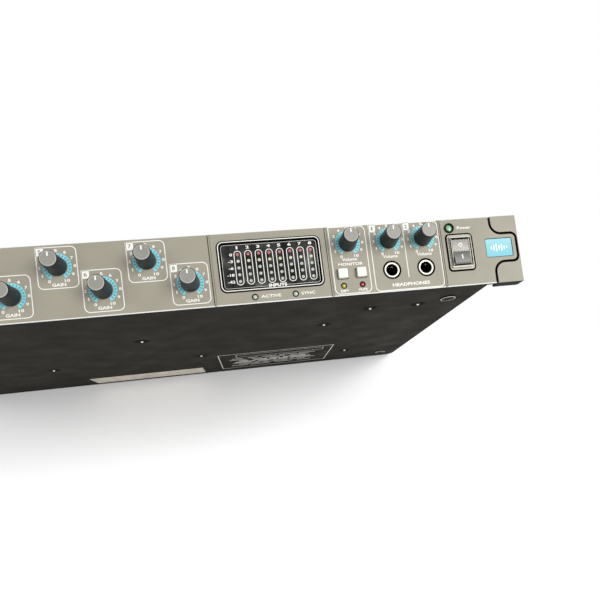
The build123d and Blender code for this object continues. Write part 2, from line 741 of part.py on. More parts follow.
def chassis_tray():
    """Folded steel tray: floor, sides, rear wall and front wall."""
    shape = slab(-CASE_HALF, CASE_HALF, PANEL_BACK, REAR, TRAY_BOTTOM, TRAY_TOP)
    corners = [e for e in shape.edges().filter_by(Axis.Z) if e.center().Y > 0]
    shape = fillet(corners, TRAY_CORNER)
    inner_half = CASE_HALF - TRAY_SHEET
    floor = TRAY_BOTTOM + TRAY_SHEET
    inside = slab(-inner_half, inner_half, WALL_BACK, REAR - TRAY_SHEET, floor, TRAY_TOP + 1)
    corners = [e for e in inside.edges().filter_by(Axis.Z) if e.center().Y > 0]
    inside = fillet(corners, TRAY_CORNER - TRAY_SHEET)
    bends = [
        e
        for e in shape.edges()
        if e.center().Z < TRAY_BOTTOM + 0.01 and e.center().Y > PANEL_BACK + 1
    ]
    shape = fillet(bends, TRAY_BEND) - inside
    wall = (PANEL_BACK - 1, WALL_BACK + 1)
    shape -= panel_holes(*wall, JACK_BUSHING_R + HOLE_PLAY, COMBO_R + HOLE_PLAY)
    shape -= meter_mouth(METER_LEDGE, *wall)
    shape -= rear_holes()
    shape -= [under(x, y, screw_hole()) for x, y in bottom_screw_places()]
    for side in (-1, 1):
        shape -= [cover_hole(side, y) for y in SIDE_SCREWS_Y]
        shape -= [side_hole(side, y, EAR_SCREW_Z) for y in EAR_SCREWS_Y]
    return flat_parts(shape)


def top_cover():
    """Flat lid with a side flange each side and two rows of vent slots."""
    reach = CASE_HALF + TRAY_SHEET
    lid = slab(-reach, reach, PANEL_BACK + 0.1, REAR, TRAY_TOP, TRAY_TOP + COVER_SHEET)
    flanges = slab(-reach, reach, PANEL_BACK + EAR_THICK + 0.4, REAR, FLANGE_LOW, TRAY_TOP)
    shape = lid + flanges
    corners = [e for e in shape.edges().filter_by(Axis.Z) if e.center().Y > 0]
    shape = fillet(corners, TRAY_CORNER + TRAY_SHEET)
    gap = CASE_HALF + HOLE_PLAY
    shape -= slab(-gap, gap, FACE, REAR + 1, FLANGE_LOW - 1, TRAY_TOP)
    for side in (-1, 1):
        shape -= [cover_hole(side, y) for y in SIDE_SCREWS_Y]
    slot = extrude(SlotOverall(VENT_LENGTH, VENT_WIDTH, rotation=90), COVER_SHEET + 2)
    for y in VENT_ROWS:
        for step in range(VENT_COUNT):
            shape -= Pos(VENT_FIRST_X + VENT_PITCH * step, y, TRAY_TOP - 1) * slot
    return shape


def rubber_feet():
    return group([post(x, y, FOOT_R, 0, TRAY_BOTTOM) for x, y in FEET])


# ---------------------------------------------------------------- inside
def standoffs():
    tubes = [post(x, y, STANDOFF_R, TRAY_BOTTOM + TRAY_SHEET, BOARD_Z) for x, y in bottom_screw_places()]
    bores = [post(x, y, SCREW_R, 0, BOARD_Z + 1) for x, y in bottom_screw_places()]
    return group([tube - bore for tube, bore in zip(tubes, bores)])


def board(area, places):
    x0, x1, y0, y1 = area
    plate = slab(x0, x1, y0, y1, BOARD_Z, BOARD_TOP)
    return plate - [post(x, FACE + along, SCREW_R, 0, BOARD_TOP + 1) for x, along in places]


def board_screws():
    """Pan-head screws that hold the boards to their standoffs from above."""
    screws = []
    low = TRAY_BOTTOM + SCREW_LENGTH + 0.05
    high = BOARD_TOP + PAN_HEAD
    for x, y in bottom_screw_places():
        shape = post(x, y, SCREW_R - 0.02, low, BOARD_TOP) + post(x, y, PAN_HEAD_R, BOARD_TOP, high)
        slot = slab(x - 1.8, x + 1.8, y - CROSS_HALF, y + CROSS_HALF, high - 0.8, high + 1)
        screws.append(shape - slot)
    return group(screws)


def front_board():
    """Upright board that carries the controls, notched round the headphone jacks."""
    back = FRONT_BOARD_Y + BOARD_THICK
    plate = slab(*FRONT_BOARD_X, FRONT_BOARD_Y, back, *FRONT_BOARD_SPAN)
    notch = slab(*JACK_NOTCH_X, FRONT_BOARD_Y - 1, back + 1, 0, JACK_NOTCH_TOP)
    return plate - notch


def psu_components():
    """Transformer, reservoir capacitors and heat sink."""
    short, tall = (BOARD_TOP, BOARD_TOP + 26), (BOARD_TOP, BOARD_TOP + 28)
    core = slab(140, 186, CORE_Y, COIL_Y, *short)
    coil = slab(145, 181, COIL_Y, COIL_Y + 20, *tall)
    cans = [post(x, CAN_Y, CAN_R, *tall) for x in CANS_X]
    sink = slab(SINK_X, SINK_X + 56, SINK_Y, SINK_Y + SINK_BACK, *short)
    for step in range(SINK_FINS):
        x = SINK_X + 1 + SINK_PITCH * step
        sink += slab(x, x + SINK_FIN, SINK_Y + SINK_BACK, SINK_Y + SINK_DEPTH, *short)
    return group([core, coil, *cans, sink])


def ribbon_cable():
    """Flat cable from the front board down to the main board."""
    back = FRONT_BOARD_Y + BOARD_THICK
    low = RIBBON_TOP - RIBBON_THICK
    run = slab(*RIBBON_X, back, RIBBON_DROP_Y, low, RIBBON_TOP)
    return run + slab(*RIBBON_X, RIBBON_DROP_Y - RIBBON_THICK, RIBBON_DROP_Y, BOARD_TOP, low)


# ---------------------------------------------------------------- write the parts
def all_parts():
    parts = {
        "front_panel": front_panel(),
        "corner_badge": corner_badge(),
        "end_cap_left": end_cap(-1),
        "end_cap_right": end_cap(1),
        "rack_ears": rack_ears(),
        "meter_bezel": meter_bezel(),
        "meter_window": meter_window(),
        "meter_leds": meter_leds(),
        "indicator_leds": indicator_leds(),
        "power_led_holder": power_led_holder(),
        "switch_housing": switch_housing(),
        "power_rocker": power_rocker(),
        "jack_sockets": every_jack(phone_jack()),
        "jack_nuts": every_jack(jack_nut()),
        "front_input_sockets": combo_sockets(at_front, FRONT_COMBO_X),
        "rear_input_sockets": combo_sockets(at_rear, REAR_COMBO_X),
        "midi_sockets": midi_sockets(),
        "coax_sockets": coax_sockets(),
        "optical_ports": optical_ports(),
        "data_ports": data_ports(),
        "mains_inlet": mains_inlet(),
        "chassis_tray": chassis_tray(),
        "top_cover": top_cover(),
        "case_screws": case_screws(),
        "rubber_feet": rubber_feet(),
        "standoffs": standoffs(),
        "board_screws": board_screws(),
        "main_board": board(MAIN_BOARD, MAIN_SCREWS),
        "power_board": board(POWER_BOARD, POWER_SCREWS),
        "power_components": psu_components(),
        "front_board": front_board(),
        "ribbon_cable": ribbon_cable(),
        "pot_bodies": pot_bodies(),
        "push_switches": push_switches(),
    }
    for name, place in BUTTONS.items():
        parts[name] = button(*place)
    for name, place in knob_places().items():
        parts[name] = knob(*place)
        parts[f"{name}_cap"] = knob_cap(*place)
    return parts


for name, shape in all_parts().items():
    export_step(shape, f"parts/{name}.step")
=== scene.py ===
import json
import math
import random

import bmesh
import bpy
from mathutils import Matrix, Vector

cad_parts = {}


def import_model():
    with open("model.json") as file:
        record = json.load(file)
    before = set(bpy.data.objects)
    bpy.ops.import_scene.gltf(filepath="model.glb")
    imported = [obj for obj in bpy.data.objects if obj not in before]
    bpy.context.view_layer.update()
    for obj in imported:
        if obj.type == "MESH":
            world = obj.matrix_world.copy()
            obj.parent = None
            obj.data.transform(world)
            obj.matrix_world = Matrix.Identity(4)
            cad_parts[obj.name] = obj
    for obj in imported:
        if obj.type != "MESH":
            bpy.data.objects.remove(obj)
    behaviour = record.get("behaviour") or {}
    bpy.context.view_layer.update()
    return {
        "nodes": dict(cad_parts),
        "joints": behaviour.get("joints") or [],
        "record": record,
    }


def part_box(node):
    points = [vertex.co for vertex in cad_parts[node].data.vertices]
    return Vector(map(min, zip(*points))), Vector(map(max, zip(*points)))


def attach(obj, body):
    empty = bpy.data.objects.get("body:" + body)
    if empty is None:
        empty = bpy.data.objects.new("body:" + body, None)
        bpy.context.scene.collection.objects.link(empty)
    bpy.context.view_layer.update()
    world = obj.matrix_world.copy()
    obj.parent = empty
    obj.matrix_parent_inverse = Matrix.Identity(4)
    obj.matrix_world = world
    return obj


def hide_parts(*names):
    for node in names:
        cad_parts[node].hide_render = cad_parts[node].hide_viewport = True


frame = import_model()
random.seed(7)

MM = 0.001
CHASSIS = "chassis"

# Camera, in millimetres: where it stands and which way the picture's right and down point.
CAMERA_PLACE = (57.5, -436.7, -86.5)
CAMERA_RIGHT = (0.98042, -0.14972, -0.12790)
CAMERA_DOWN = (-0.11843, 0.07056, -0.99045)

# ---------------------------------------------------------------- places, read from the frame
panel_low, panel_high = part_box("front_panel")
tray_low, tray_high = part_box("chassis_tray")
FACE = panel_low.y / MM
REAR = tray_high.y / MM
TRAY_BOTTOM = tray_low.z / MM
PANEL_TOP = panel_high.z / MM


def middle(node):
    """Centre of a node's box, in millimetres."""
    low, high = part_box(node)
    return (low + high) / 2 / MM


# ---------------------------------------------------------------- surfaces to print and build on
class Surface:
    """A flat place on the object: u and v along it and h out of it, all in millimetres."""

    def __init__(self, origin, along, up, out):
        self.origin, self.along, self.up, self.out = map(Vector, (origin, along, up, out))

    def point(self, u, v, h=0.0):
        return (self.origin + self.along * u + self.up * v + self.out * h) * MM


FRONT = Surface((0, FACE, 0), (1, 0, 0), (0, 0, 1), (0, -1, 0))
BACK = Surface((0, REAR, 0), (-1, 0, 0), (0, 0, 1), (0, 1, 0))
UNDER = Surface((0, FACE, TRAY_BOTTOM), (1, 0, 0), (0, 1, 0), (0, 0, -1))
PRINT = 0.05  # ink height
SUNK = 0.03  # how far ink reaches into the surface


def plate_front(node):
    """The flat front of a node, and its low and high corner in millimetres."""
    low, high = (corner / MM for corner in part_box(node))
    return Surface((0, low.y, 0), (1, 0, 0), (0, 0, 1), (0, -1, 0)), low, high


# ---------------------------------------------------------------- mesh helpers
def circle(u, v, radius, steps=32, start=0.0, sweep=360.0):
    """Points round a circle, or along an arc with both ends; angles from 12 o'clock, clockwise."""
    closed = sweep >= 360
    count = steps if closed else steps + 1
    angles = [math.radians(start + sweep * n / steps) for n in range(count)]
    return [(u + radius * math.sin(a), v + radius * math.cos(a)) for a in angles]


def rounded_loop(u0, v0, u1, v1, radii, grow=0.0, steps=6):
    """Rounded rectangle from its low to its high corner, with a radius for each corner.

    The radii are for top left, top right, low right and low left.
    """
    corners = ((u0, v1, -90), (u1, v1, 0), (u1, v0, 90), (u0, v0, 180))
    turns = ((1, -1), (-1, -1), (-1, 1), (1, 1))
    loop = []
    for (u, v, start), (su, sv), radius in zip(corners, turns, radii):
        if radius == 0:
            loop.append((u - su * grow, v - sv * grow))
            continue
        centre = (u + su * radius, v + sv * radius)
        loop += circle(*centre, radius + grow, steps, start, 90)
    return loop


def add_prism(bm, surface, outer, inner=None, low=-SUNK, high=PRINT, closed=True):
    """A flat solid from an outline, or a band between two outlines with as many points each."""
    levels = (high, low)
    out_rings = [[bm.verts.new(surface.point(u, v, h)) for u, v in outer] for h in levels]
    count = len(outer)
    last = count if closed else count - 1
    if inner is None:
        bm.faces.new(out_rings[0])
        bm.faces.new(out_rings[1])
        rings = [out_rings]
    else:
        in_rings = [[bm.verts.new(surface.point(u, v, h)) for u, v in inner] for h in levels]
        rings = [out_rings, in_rings]
        for a, b in zip(out_rings, in_rings):
            for n in range(last):
                m = (n + 1) % count
                bm.faces.new((a[n], a[m], b[m], b[n]))
        if not closed:
            for n in (0, count - 1):
                bm.faces.new((out_rings[0][n], out_rings[1][n], in_rings[1][n], in_rings[0][n]))
    for top, bottom in rings:
        for n in range(last):
            m = (n + 1) % count
            bm.faces.new((top[n], top[m], bottom[m], bottom[n]))


def add_outline(bm, surface, u0, v0, u1, v1, radii, line, **levels):
    """A line of a given width that follows a rounded rectangle."""
    half = line / 2
    outer = rounded_loop(u0, v0, u1, v1, radii, half)
    inner = rounded_loop(u0, v0, u1, v1, radii, -half)
    add_prism(bm, surface, outer, inner, **levels)


def add_box(bm, surface, u0, v0, u1, v1, **levels):
    add_prism(bm, surface, [(u0, v0), (u1, v0), (u1, v1), (u0, v1)], **levels)


def add_words(bm, surface, words, u, v, width, height, weight=0.02, high=PRINT):
    """Lettering in the built-in font, centred on u, v and fitted to a width and a height."""
    curve = bpy.data.curves.new("words", "FONT")
    curve.body = words
    curve.resolution_u = 3
    curve.offset = weight
    curve.extrude = 0.5  # gives the letters two levels, which are moved below
    holder = bpy.data.objects.new("words", curve)
    mesh = bpy.data.meshes.new_from_object(holder)
    bpy.data.objects.remove(holder)
    bpy.data.curves.remove(curve)
    xs = [p.co.x for p in mesh.vertices]
    ys = [p.co.y for p in mesh.vertices]
    mid_x, mid_y = (min(xs) + max(xs)) / 2, (min(ys) + max(ys)) / 2
    scale_x = width / (max(xs) - min(xs))
    scale_y = height / (max(ys) - min(ys))
    for p in mesh.vertices:
        across, up = (p.co.x - mid_x) * scale_x, (p.co.y - mid_y) * scale_y
        level = high if p.co.z > 0 else -SUNK
        p.co = surface.point(u + across, v + up, level)
    bm.from_mesh(mesh)
    bpy.data.meshes.remove(mesh)


def finish_piece(bm, name, material, body, smooth=False, second=None):
    """Turns a bmesh into an object that rides on a body; its faces may use a second material."""
    bmesh.ops.remove_doubles(bm, verts=bm.verts, dist=1e-7)
    bmesh.ops.recalc_face_normals(bm, faces=bm.faces)
    mesh = bpy.data.meshes.new(name)
    bm.to_mesh(mesh)
    bm.free()
    mesh.materials.append(material)
    if second:
        mesh.materials.append(second)
    for polygon in mesh.polygons:
        polygon.use_smooth = smooth
    piece = bpy.data.objects.new(name, mesh)
    bpy.context.collection.objects.link(piece)
    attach(piece, body)
    return piece


# ---------------------------------------------------------------- materials
class Finish:
    """A Principled material with short calls for its procedural detail."""

    def __init__(self, name, color, rough, metallic=0.0, **sockets):
        self.material = bpy.data.materials.new(name)
        self.material.use_nodes = True
        self.nodes = self.material.node_tree.nodes
        self.links = self.material.node_tree.links
        self.shader = self.nodes["Principled BSDF"]
        self.color = color
        self.shader.inputs["Base Color"].default_value = (*color, 1)
        self.shader.inputs["Roughness"].default_value = rough
        self.shader.inputs["Metallic"].default_value = metallic
        for key, value in sockets.items():
            self.shader.inputs[key.replace("_", " ")].default_value = value
        self.coordinates = self.nodes.new("ShaderNodeTexCoord")
        self.normal = None

    def noise(self, scale, detail=3.0, stretch=(1, 1, 1), roughness=0.5):
        mapping = self.nodes.new("ShaderNodeMapping")
        mapping.inputs["Scale"].default_value = stretch
        self.links.new(self.coordinates.outputs["Object"], mapping.inputs["Vector"])
        noise = self.nodes.new("ShaderNodeTexNoise")
        noise.inputs["Scale"].default_value = scale
        noise.inputs["Detail"].default_value = detail
        noise.inputs["Roughness"].default_value = roughness
        self.links.new(mapping.outputs["Vector"], noise.inputs["Vector"])
        return noise.outputs["Fac"]

    def ramp(self, value, stops):
        ramp = self.nodes.new("ShaderNodeValToRGB")
        elements = ramp.color_ramp.elements
        while len(elements) < len(stops):
            elements.new(0.5)
        for element, (place, color) in zip(elements, stops):
            element.position = place
            element.color = (*color, 1)
        self.links.new(value, ramp.inputs["Fac"])
        return ramp.outputs["Color"]

    def mottle(self, scale, amount, detail=3.0, stretch=(1, 1, 1)):
        """Colour that drifts a little darker and lighter."""
        dark = [c * (1 - amount) for c in self.color]
        light = [min(1, c * (1 + amount)) for c in self.color]
        color = self.ramp(self.noise(scale, detail, stretch), ((0.3, dark), (0.7, light)))
        self.links.new(color, self.shader.inputs["Base Color"])
        return self

    def rough_noise(self, scale, low, high):
        """Roughness that drifts between two values."""
        spread = self.nodes.new("ShaderNodeMapRange")
        spread.inputs["From Min"].default_value = 0.3
        spread.inputs["From Max"].default_value = 0.7
        spread.inputs["To Min"].default_value = low
        spread.inputs["To Max"].default_value = high
        self.links.new(self.noise(scale, 4.0), spread.inputs["Value"])
        self.links.new(spread.outputs["Result"], self.shader.inputs["Roughness"])
        return self

    def bump(self, height, strength, distance):
        bump = self.nodes.new("ShaderNodeBump")
        bump.inputs["Strength"].default_value = strength
        bump.inputs["Distance"].default_value = distance
        self.links.new(height, bump.inputs["Height"])
        if self.normal is not None:
            self.links.new(self.normal, bump.inputs["Normal"])
        self.normal = bump.outputs["Normal"]
        self.links.new(self.normal, self.shader.inputs["Normal"])
        return self

    def grain(self, scale, strength, distance, stretch=(1, 1, 1)):
        """Fine unevenness of the surface."""
        return self.bump(self.noise(scale, 2.0, stretch), strength, distance)

    def math(self, operation, a, b=None):
        node = self.nodes.new("ShaderNodeMath")
        node.operation = operation
        for socket, value in zip(node.inputs, (a, b)):
            if isinstance(value, (int, float)):
                socket.default_value = value
            elif value is not None:
                self.links.new(value, socket)
        return node.outputs["Value"]


def panel_finish():
    """Fine satin coat on the front panel."""
    made = Finish("panel_paint", (0.272, 0.254, 0.2), 0.5, Specular_IOR_Level=0.3)
    made.mottle(46.0, 0.06, 6.0)
    made.rough_noise(60.0, 0.44, 0.56)
    return made.grain(5200.0, 0.12, 0.00005).grain(900.0, 0.03, 0.0001).material


def bevel_finish():
    """Bare cut edge of the panel."""
    made = Finish("bare_edge", (0.86, 0.86, 0.83), 0.28, 0.6)
    return made.grain(4000.0, 0.1, 0.00003, stretch=(0.05, 1, 1)).material


def black_coat():
    """Powder coat of the case, with faint rub marks."""
    made = Finish("powder_coat", (0.019, 0.0175, 0.0135), 0.65, Specular_IOR_Level=0.3, IOR=1.13)
    rubs = made.noise(26.0, 5.0, (1, 0.45, 1), 0.62)
    stops = (
        (0.3, (0.018, 0.0165, 0.0125)),
        (0.66, (0.0205, 0.0185, 0.0145)),
        (0.85, (0.032, 0.029, 0.024)),
    )
    color = made.ramp(rubs, stops)
    made.links.new(color, made.shader.inputs["Base Color"])
    made.rough_noise(40.0, 0.55, 0.75)
    return made.grain(3600.0, 0.35, 0.00006).material


def plain_plastic(name, color, rough, scale=2600.0, strength=0.12, **sockets):
    """Moulded plastic or rubber with a fine grain."""
    made = Finish(name, color, rough, **sockets)
    made.mottle(120.0, 0.05)
    made.rough_noise(90.0, rough * 0.85, min(1, rough * 1.15))
    return made.grain(scale, strength, 0.00004).material


def plated_finish(name="plated", color=(0.86, 0.86, 0.84), rough=0.16):
    """Metal with slightly uneven polish."""
    made = Finish(name, color, rough, 1.0)
    made.mottle(300.0, 0.03)
    made.rough_noise(220.0, rough * 0.7, rough * 1.4)
    return made.grain(3000.0, 0.04, 0.00003).material


def nickel_finish():
    """Bright satin nickel of the jack rings."""
    made = Finish("satin_nickel", (0.66, 0.64, 0.56), 0.36, 0.3)
    made.mottle(260.0, 0.05)
    made.rough_noise(300.0, 0.3, 0.44)
    return made.grain(2600.0, 0.08, 0.00004, stretch=(1, 1, 0.2)).material


def rocker_finish():
    """Smoky moulding of the rocker, with painted reflection and shade in its colour: pale at the bottom,
    darkest at the middle, a pale band just above it and dark towards the top.
    """
    made = Finish("smoky_rocker_painted_shading", (0.2, 0.19, 0.17), 0.25, Coat_Weight=0.25, Coat_Roughness=0.2)
    split = made.nodes.new("ShaderNodeSeparateXYZ")
    made.links.new(made.coordinates.outputs["Generated"], split.inputs["Vector"])
    # Painted reflection and shade, from the rocker's bottom (0) to its top (1).
    stops = (
        (0.0, (0.30, 0.30, 0.28)),
        (0.2, (0.21, 0.21, 0.20)),
        (0.46, (0.12, 0.12, 0.11)),
        (0.62, (0.24, 0.22, 0.18)),
        (0.85, (0.15, 0.135, 0.11)),
        (1.0, (0.08, 0.07, 0.06)),
    )
    color = made.ramp(split.outputs["Z"], stops)
    made.links.new(color, made.shader.inputs["Base Color"])
    made.rough_noise(400.0, 0.2, 0.32)
    return made.grain(700.0, 0.05, 0.0001).material


def cap_finish():
    """Knob cap with turned circles round its middle."""
    made = Finish("knob_cap", (0.235, 0.23, 0.205), 0.45, 0.1)
    split = made.nodes.new("ShaderNodeSeparateXYZ")
    made.links.new(made.coordinates.outputs["Generated"], split.inputs["Vector"])
    across = made.math("SUBTRACT", split.outputs["X"], 0.5)
    up = made.math("SUBTRACT", split.outputs["Z"], 0.5)
    squares = made.math("MULTIPLY", across, across), made.math("MULTIPLY", up, up)
    radius = made.math("SQRT", made.math("ADD", *squares))
    rings = made.math("SINE", made.math("MULTIPLY", radius, 190.0))
    made.bump(rings, 0.06, 0.00004)
    made.mottle(400.0, 0.03)
    return made.grain(2200.0, 0.05, 0.00003).material


def knob_finish():
    """Soft-touch rubber of the knob bodies."""
    thin_coat = {"Coat_Weight": 0.08, "Coat_Roughness": 0.25}
    made = Finish("knob_rubber", (0.006, 0.009, 0.012), 0.42, IOR=1.35, **thin_coat)
    made.mottle(200.0, 0.12)
    made.rough_noise(300.0, 0.36, 0.48)
    return made.grain(4200.0, 0.25, 0.00005).material


def window_finish():
    """Smoked acrylic with lighter cloudy patches, which are painted reflections of light on the glass.
    """
    thin_coat = {"Coat_Weight": 0.12, "Coat_Roughness": 0.04}
    made = Finish("smoked_window", (0.012, 0.012, 0.013), 0.1, IOR=1.3, **thin_coat)
    # Painted reflections: the lighter patches stand in for blotchy light on the glass.
    painted_reflections = made.noise(95.0, 7.0, (1, 1, 0.6), 0.62)
    stops = ((0.42, (0.008, 0.008, 0.009)), (0.58, (0.035, 0.035, 0.034)), (0.76, (0.16, 0.16, 0.15)))
    color = made.ramp(painted_reflections, stops)
    made.links.new(color, made.shader.inputs["Base Color"])
    made.rough_noise(160.0, 0.06, 0.16)
    return made.grain(24.0, 0.05, 0.0004).material


def lens_finish(name, color):
    """Diffused lamp lens."""
    made = Finish(name, color, 0.22, Coat_Weight=0.5, Coat_Roughness=0.08, Subsurface_Weight=0.2)
    made.shader.inputs["Subsurface Scale"].default_value = 0.0008
    made.mottle(1500.0, 0.06)
    return made.grain(3000.0, 0.04, 0.00003).material


def ink_finish(name, color):
    """Screen-printed ink."""
    made = Finish(name, color, 0.55)
    made.mottle(1400.0, 0.04)
    return made.grain(5000.0, 0.1, 0.00002).material


def board_finish():
    """Solder mask over copper tracks."""
    made = Finish("circuit_board", (0.02, 0.12, 0.05), 0.35, Coat_Weight=0.4)
    tracks = made.nodes.new("ShaderNodeTexBrick")
    tracks.inputs["Scale"].default_value = 120.0
    tracks.inputs["Color1"].default_value = (0.02, 0.12, 0.05, 1)
    tracks.inputs["Color2"].default_value = (0.03, 0.16, 0.07, 1)
    tracks.inputs["Mortar"].default_value = (0.06, 0.24, 0.10, 1)
    made.links.new(made.coordinates.outputs["Object"], tracks.inputs["Vector"])
    made.links.new(tracks.outputs["Color"], made.shader.inputs["Base Color"])
    made.bump(tracks.outputs["Fac"], 0.15, 0.00005)
    return made.grain(1500.0, 0.05, 0.00003).material


def badge_finish():
    """Pale cyan badge, a little lighter towards its top."""
    made = Finish("badge", (0.21, 0.50, 0.57), 0.6, Specular_IOR_Level=0.3)
    split = made.nodes.new("ShaderNodeSeparateXYZ")
    made.links.new(made.coordinates.outputs["Generated"], split.inputs["Vector"])
    stops = ((0.0, (0.18, 0.47, 0.55)), (0.55, (0.22, 0.50, 0.56)), (1.0, (0.28, 0.55, 0.60)))
    color = made.ramp(split.outputs["Z"], stops)
    made.links.new(color, made.shader.inputs["Base Color"])
    return made.grain(1800.0, 0.06, 0.00003).material


def sticker_finish():
    """Foil label with slight creases."""
    made = Finish("foil_label", (0.62, 0.55, 0.46), 0.38, 0.55)
    made.mottle(160.0, 0.16, 5.0, (1, 0.2, 1))
    made.rough_noise(200.0, 0.28, 0.5)
    return made.grain(180.0, 0.25, 0.0004).grain(2200.0, 0.15, 0.00005).material


PANEL = panel_finish()
BARE = bevel_finish()
COAT = black_coat()
BLACK = plain_plastic("black_plastic", (0.011, 0.011, 0.011), 0.6, IOR=1.12)
SWITCH_FRAME = plain_plastic("switch_frame", (0.36, 0.34, 0.28), 0.3, 900.0, 0.04)
# Rocker colour with painted reflection and shade down its face.
ROCKER_PAINTED_SHADE = rocker_finish()
PLATED = plated_finish()
NICKEL = nickel_finish()
STEEL = plated_finish("zinc_steel", (0.80, 0.80, 0.79), 0.24)
RUBBER = plain_plastic("foot_rubber", (0.009, 0.009, 0.009), 0.75, IOR=1.15)
KNOB = knob_finish()
CAP = cap_finish()
# Paler colour of the knob caps' rims, painted as a highlight.
RIM_HIGHLIGHT = plain_plastic("cap_rim_highlight", (0.33, 0.32, 0.29), 0.4)
BRASS = plated_finish("spring_brass", (0.2, 0.17, 0.1), 0.45)
BUTTON = plain_plastic(
    "button_white", (0.66, 0.665, 0.60), 0.34, 1800.0, 0.05, Subsurface_Weight=0.1
)
# Its colour holds painted reflections.
WINDOW = window_finish()
BADGE = badge_finish()
BOARD = board_finish()
COMPONENT = plain_plastic("component_body", (0.05, 0.05, 0.055), 0.5)
RIBBON = plain_plastic("ribbon_insulation", (0.42, 0.43, 0.45), 0.5)
INK = ink_finish("white_ink", (0.72, 0.715, 0.67))
PANEL_INK = ink_finish("knocked_out_ink", (0.22, 0.215, 0.19))
CYAN = ink_finish("cyan_ink", (0.20, 0.56, 0.64))
DEEP_CYAN = ink_finish("deep_cyan_ink", (0.05, 0.24, 0.28))
RED_LENS = lens_finish("red_lens", (0.34, 0.035, 0.055))
ROSE_LENS = lens_finish("rose_lens", (0.40, 0.13, 0.14))
YELLOW_LENS = lens_finish("yellow_lens", (0.42, 0.38, 0.08))
CREAM_LENS = lens_finish("cream_lens", (0.52, 0.51, 0.36))
GREEN_LENS = lens_finish("green_lens", (0.20, 0.44, 0.23))
PALE_LENS = lens_finish("pale_green_lens", (0.40, 0.44, 0.38))
# Painted shade: near-black sheets laid where shadow falls, in gaps, grooves and seams, round lamps and
# jacks and at the meter window's edge.
SHADE_SHEETS = [
    plain_plastic(f"painted_shade_sheet_{n}", (tone, tone, tone), 0.8, IOR=1.04)
    for n, tone in enumerate((0.003, 0.007, 0.012))
]
# Painted shade of the hollow round each screw under the case, in three tones that fade outwards.
HOLLOW_SHADE_TONES = [
    plain_plastic(f"hollow_shade_paint_{n}", (tone, tone, tone), 0.8, IOR=1.04 + 0.03 * n)
    for n, tone in enumerate((0.006, 0.010, 0.014))
]
FOIL = sticker_finish()
GLINT = plated_finish("polished_burr", (0.95, 0.95, 0.93), 0.3)


# ---------------------------------------------------------------- finishes of the CAD nodes
def paint(node, *materials):
    """Gives a CAD node its materials and returns the object."""
    obj = frame["nodes"][node]
    obj.data.materials.clear()
    for material in materials:
        obj.data.materials.append(material)
    for polygon in obj.data.polygons:
        polygon.material_index = 0
    return obj


def paint_faces(node, materials, choose):
    """Picks a material for each face, by its middle in millimetres and its normal."""
    obj = paint(node, *materials)
    for polygon in obj.data.polygons:
        polygon.material_index = choose(polygon.center / MM, polygon.normal)


STRAIGHT = 0.9  # a face whose normal has more than this along an axis looks along it
SLANTED = 0.3
FRONT_SKIN = 0.6  # faces less deep than this belong to the panel's front


def panel_face(centre, normal):
    """0 painted front, 1 bare bevel, 2 black edges and back."""
    if centre.y >= FACE + FRONT_SKIN or normal.y >= -SLANTED:
        return 2
    return 0 if normal.y < -STRAIGHT else 1


def cap_face(centre, normal):
    """0 painted front of an end cap, 1 black sides and back."""
    return 0 if normal.y < -STRAIGHT and centre.y < FACE + 0.1 else 1


def lamp_face(centre, normal):
    """0 red, 1 yellow, 2 green, 3 pale green, by which round lamp the face is on."""
    for index, lamp_x in enumerate((RED_LAMP_X, YELLOW_LAMP_X)):
        if abs(centre.x - lamp_x) < 3:
            return index
    if centre.x > POWER_LAMP_FROM:
        return 2
    if centre.x > STATUS_LAMPS_FROM:
        return 3
    return 0 if centre.x > PHANTOM_LAMPS_FROM else 2


def meter_face(centre, normal):
    """0 rose top row, 1 cream second row, 2 pale green below."""
    row = round((METER_TOP - centre.z) / METER_PITCH)
    return max(0, min(2, row))


def jack_face(centre, normal):
    """1 bright mouth of the bushing, 0 black body and bore."""
    near_front = centre.y < FACE + MOUTH_DEPTH
    past_rear = centre.y > REAR + 0.2
    return 1 if near_front or past_rear else 0


def switch_face(centre, normal):
    """0 pale frame, 1 black inside; the black on the mouth's inner walls is painted shade of the recess
    round the rocker.
    """
    away = centre - middle("switch_housing")
    outward = normal.x * away.x + normal.z * away.z > 1.0
    step_front = normal.y < -STRAIGHT and centre.y < FACE - 0.5
    return 0 if step_front or (outward and centre.y < FACE) else 1


def rocker_face(centre, normal):
    """0 smoky face of the rocker, 1 its dark sides."""
    return 1 if abs(normal.x) > 0.7 else 0


def screw_face(centre, normal):
    """1 flat of a blackened head, 0 its bright cross recess."""
    flat_below = normal.z < -STRAIGHT and centre.z < TRAY_BOTTOM + 0.1
    flat_side = abs(normal.x) > STRAIGHT and abs(centre.x) > tray_high.x / MM
    return 1 if flat_below or flat_side else 0


YELLOW_LAMP_X, RED_LAMP_X = 121.8, 133.6
POWER_LAMP_FROM, STATUS_LAMPS_FROM, PHANTOM_LAMPS_FROM = 180, 0, -165  # each to the right of it
MOUTH_DEPTH = 2.5
leds_low, leds_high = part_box("meter_leds")
LED_R = 0.95
METER_ROWS, METER_COLUMNS = 5, 8
METER_TOP = leds_high.z / MM - LED_R
METER_PITCH = (leds_high.z - leds_low.z - 2 * LED_R * MM) / MM / (METER_ROWS - 1)

knobs = sorted(n for n in frame["nodes"] if "knob" in n and not n.endswith("_cap"))
buttons = sorted(n for n in frame["nodes"] if "button" in n)

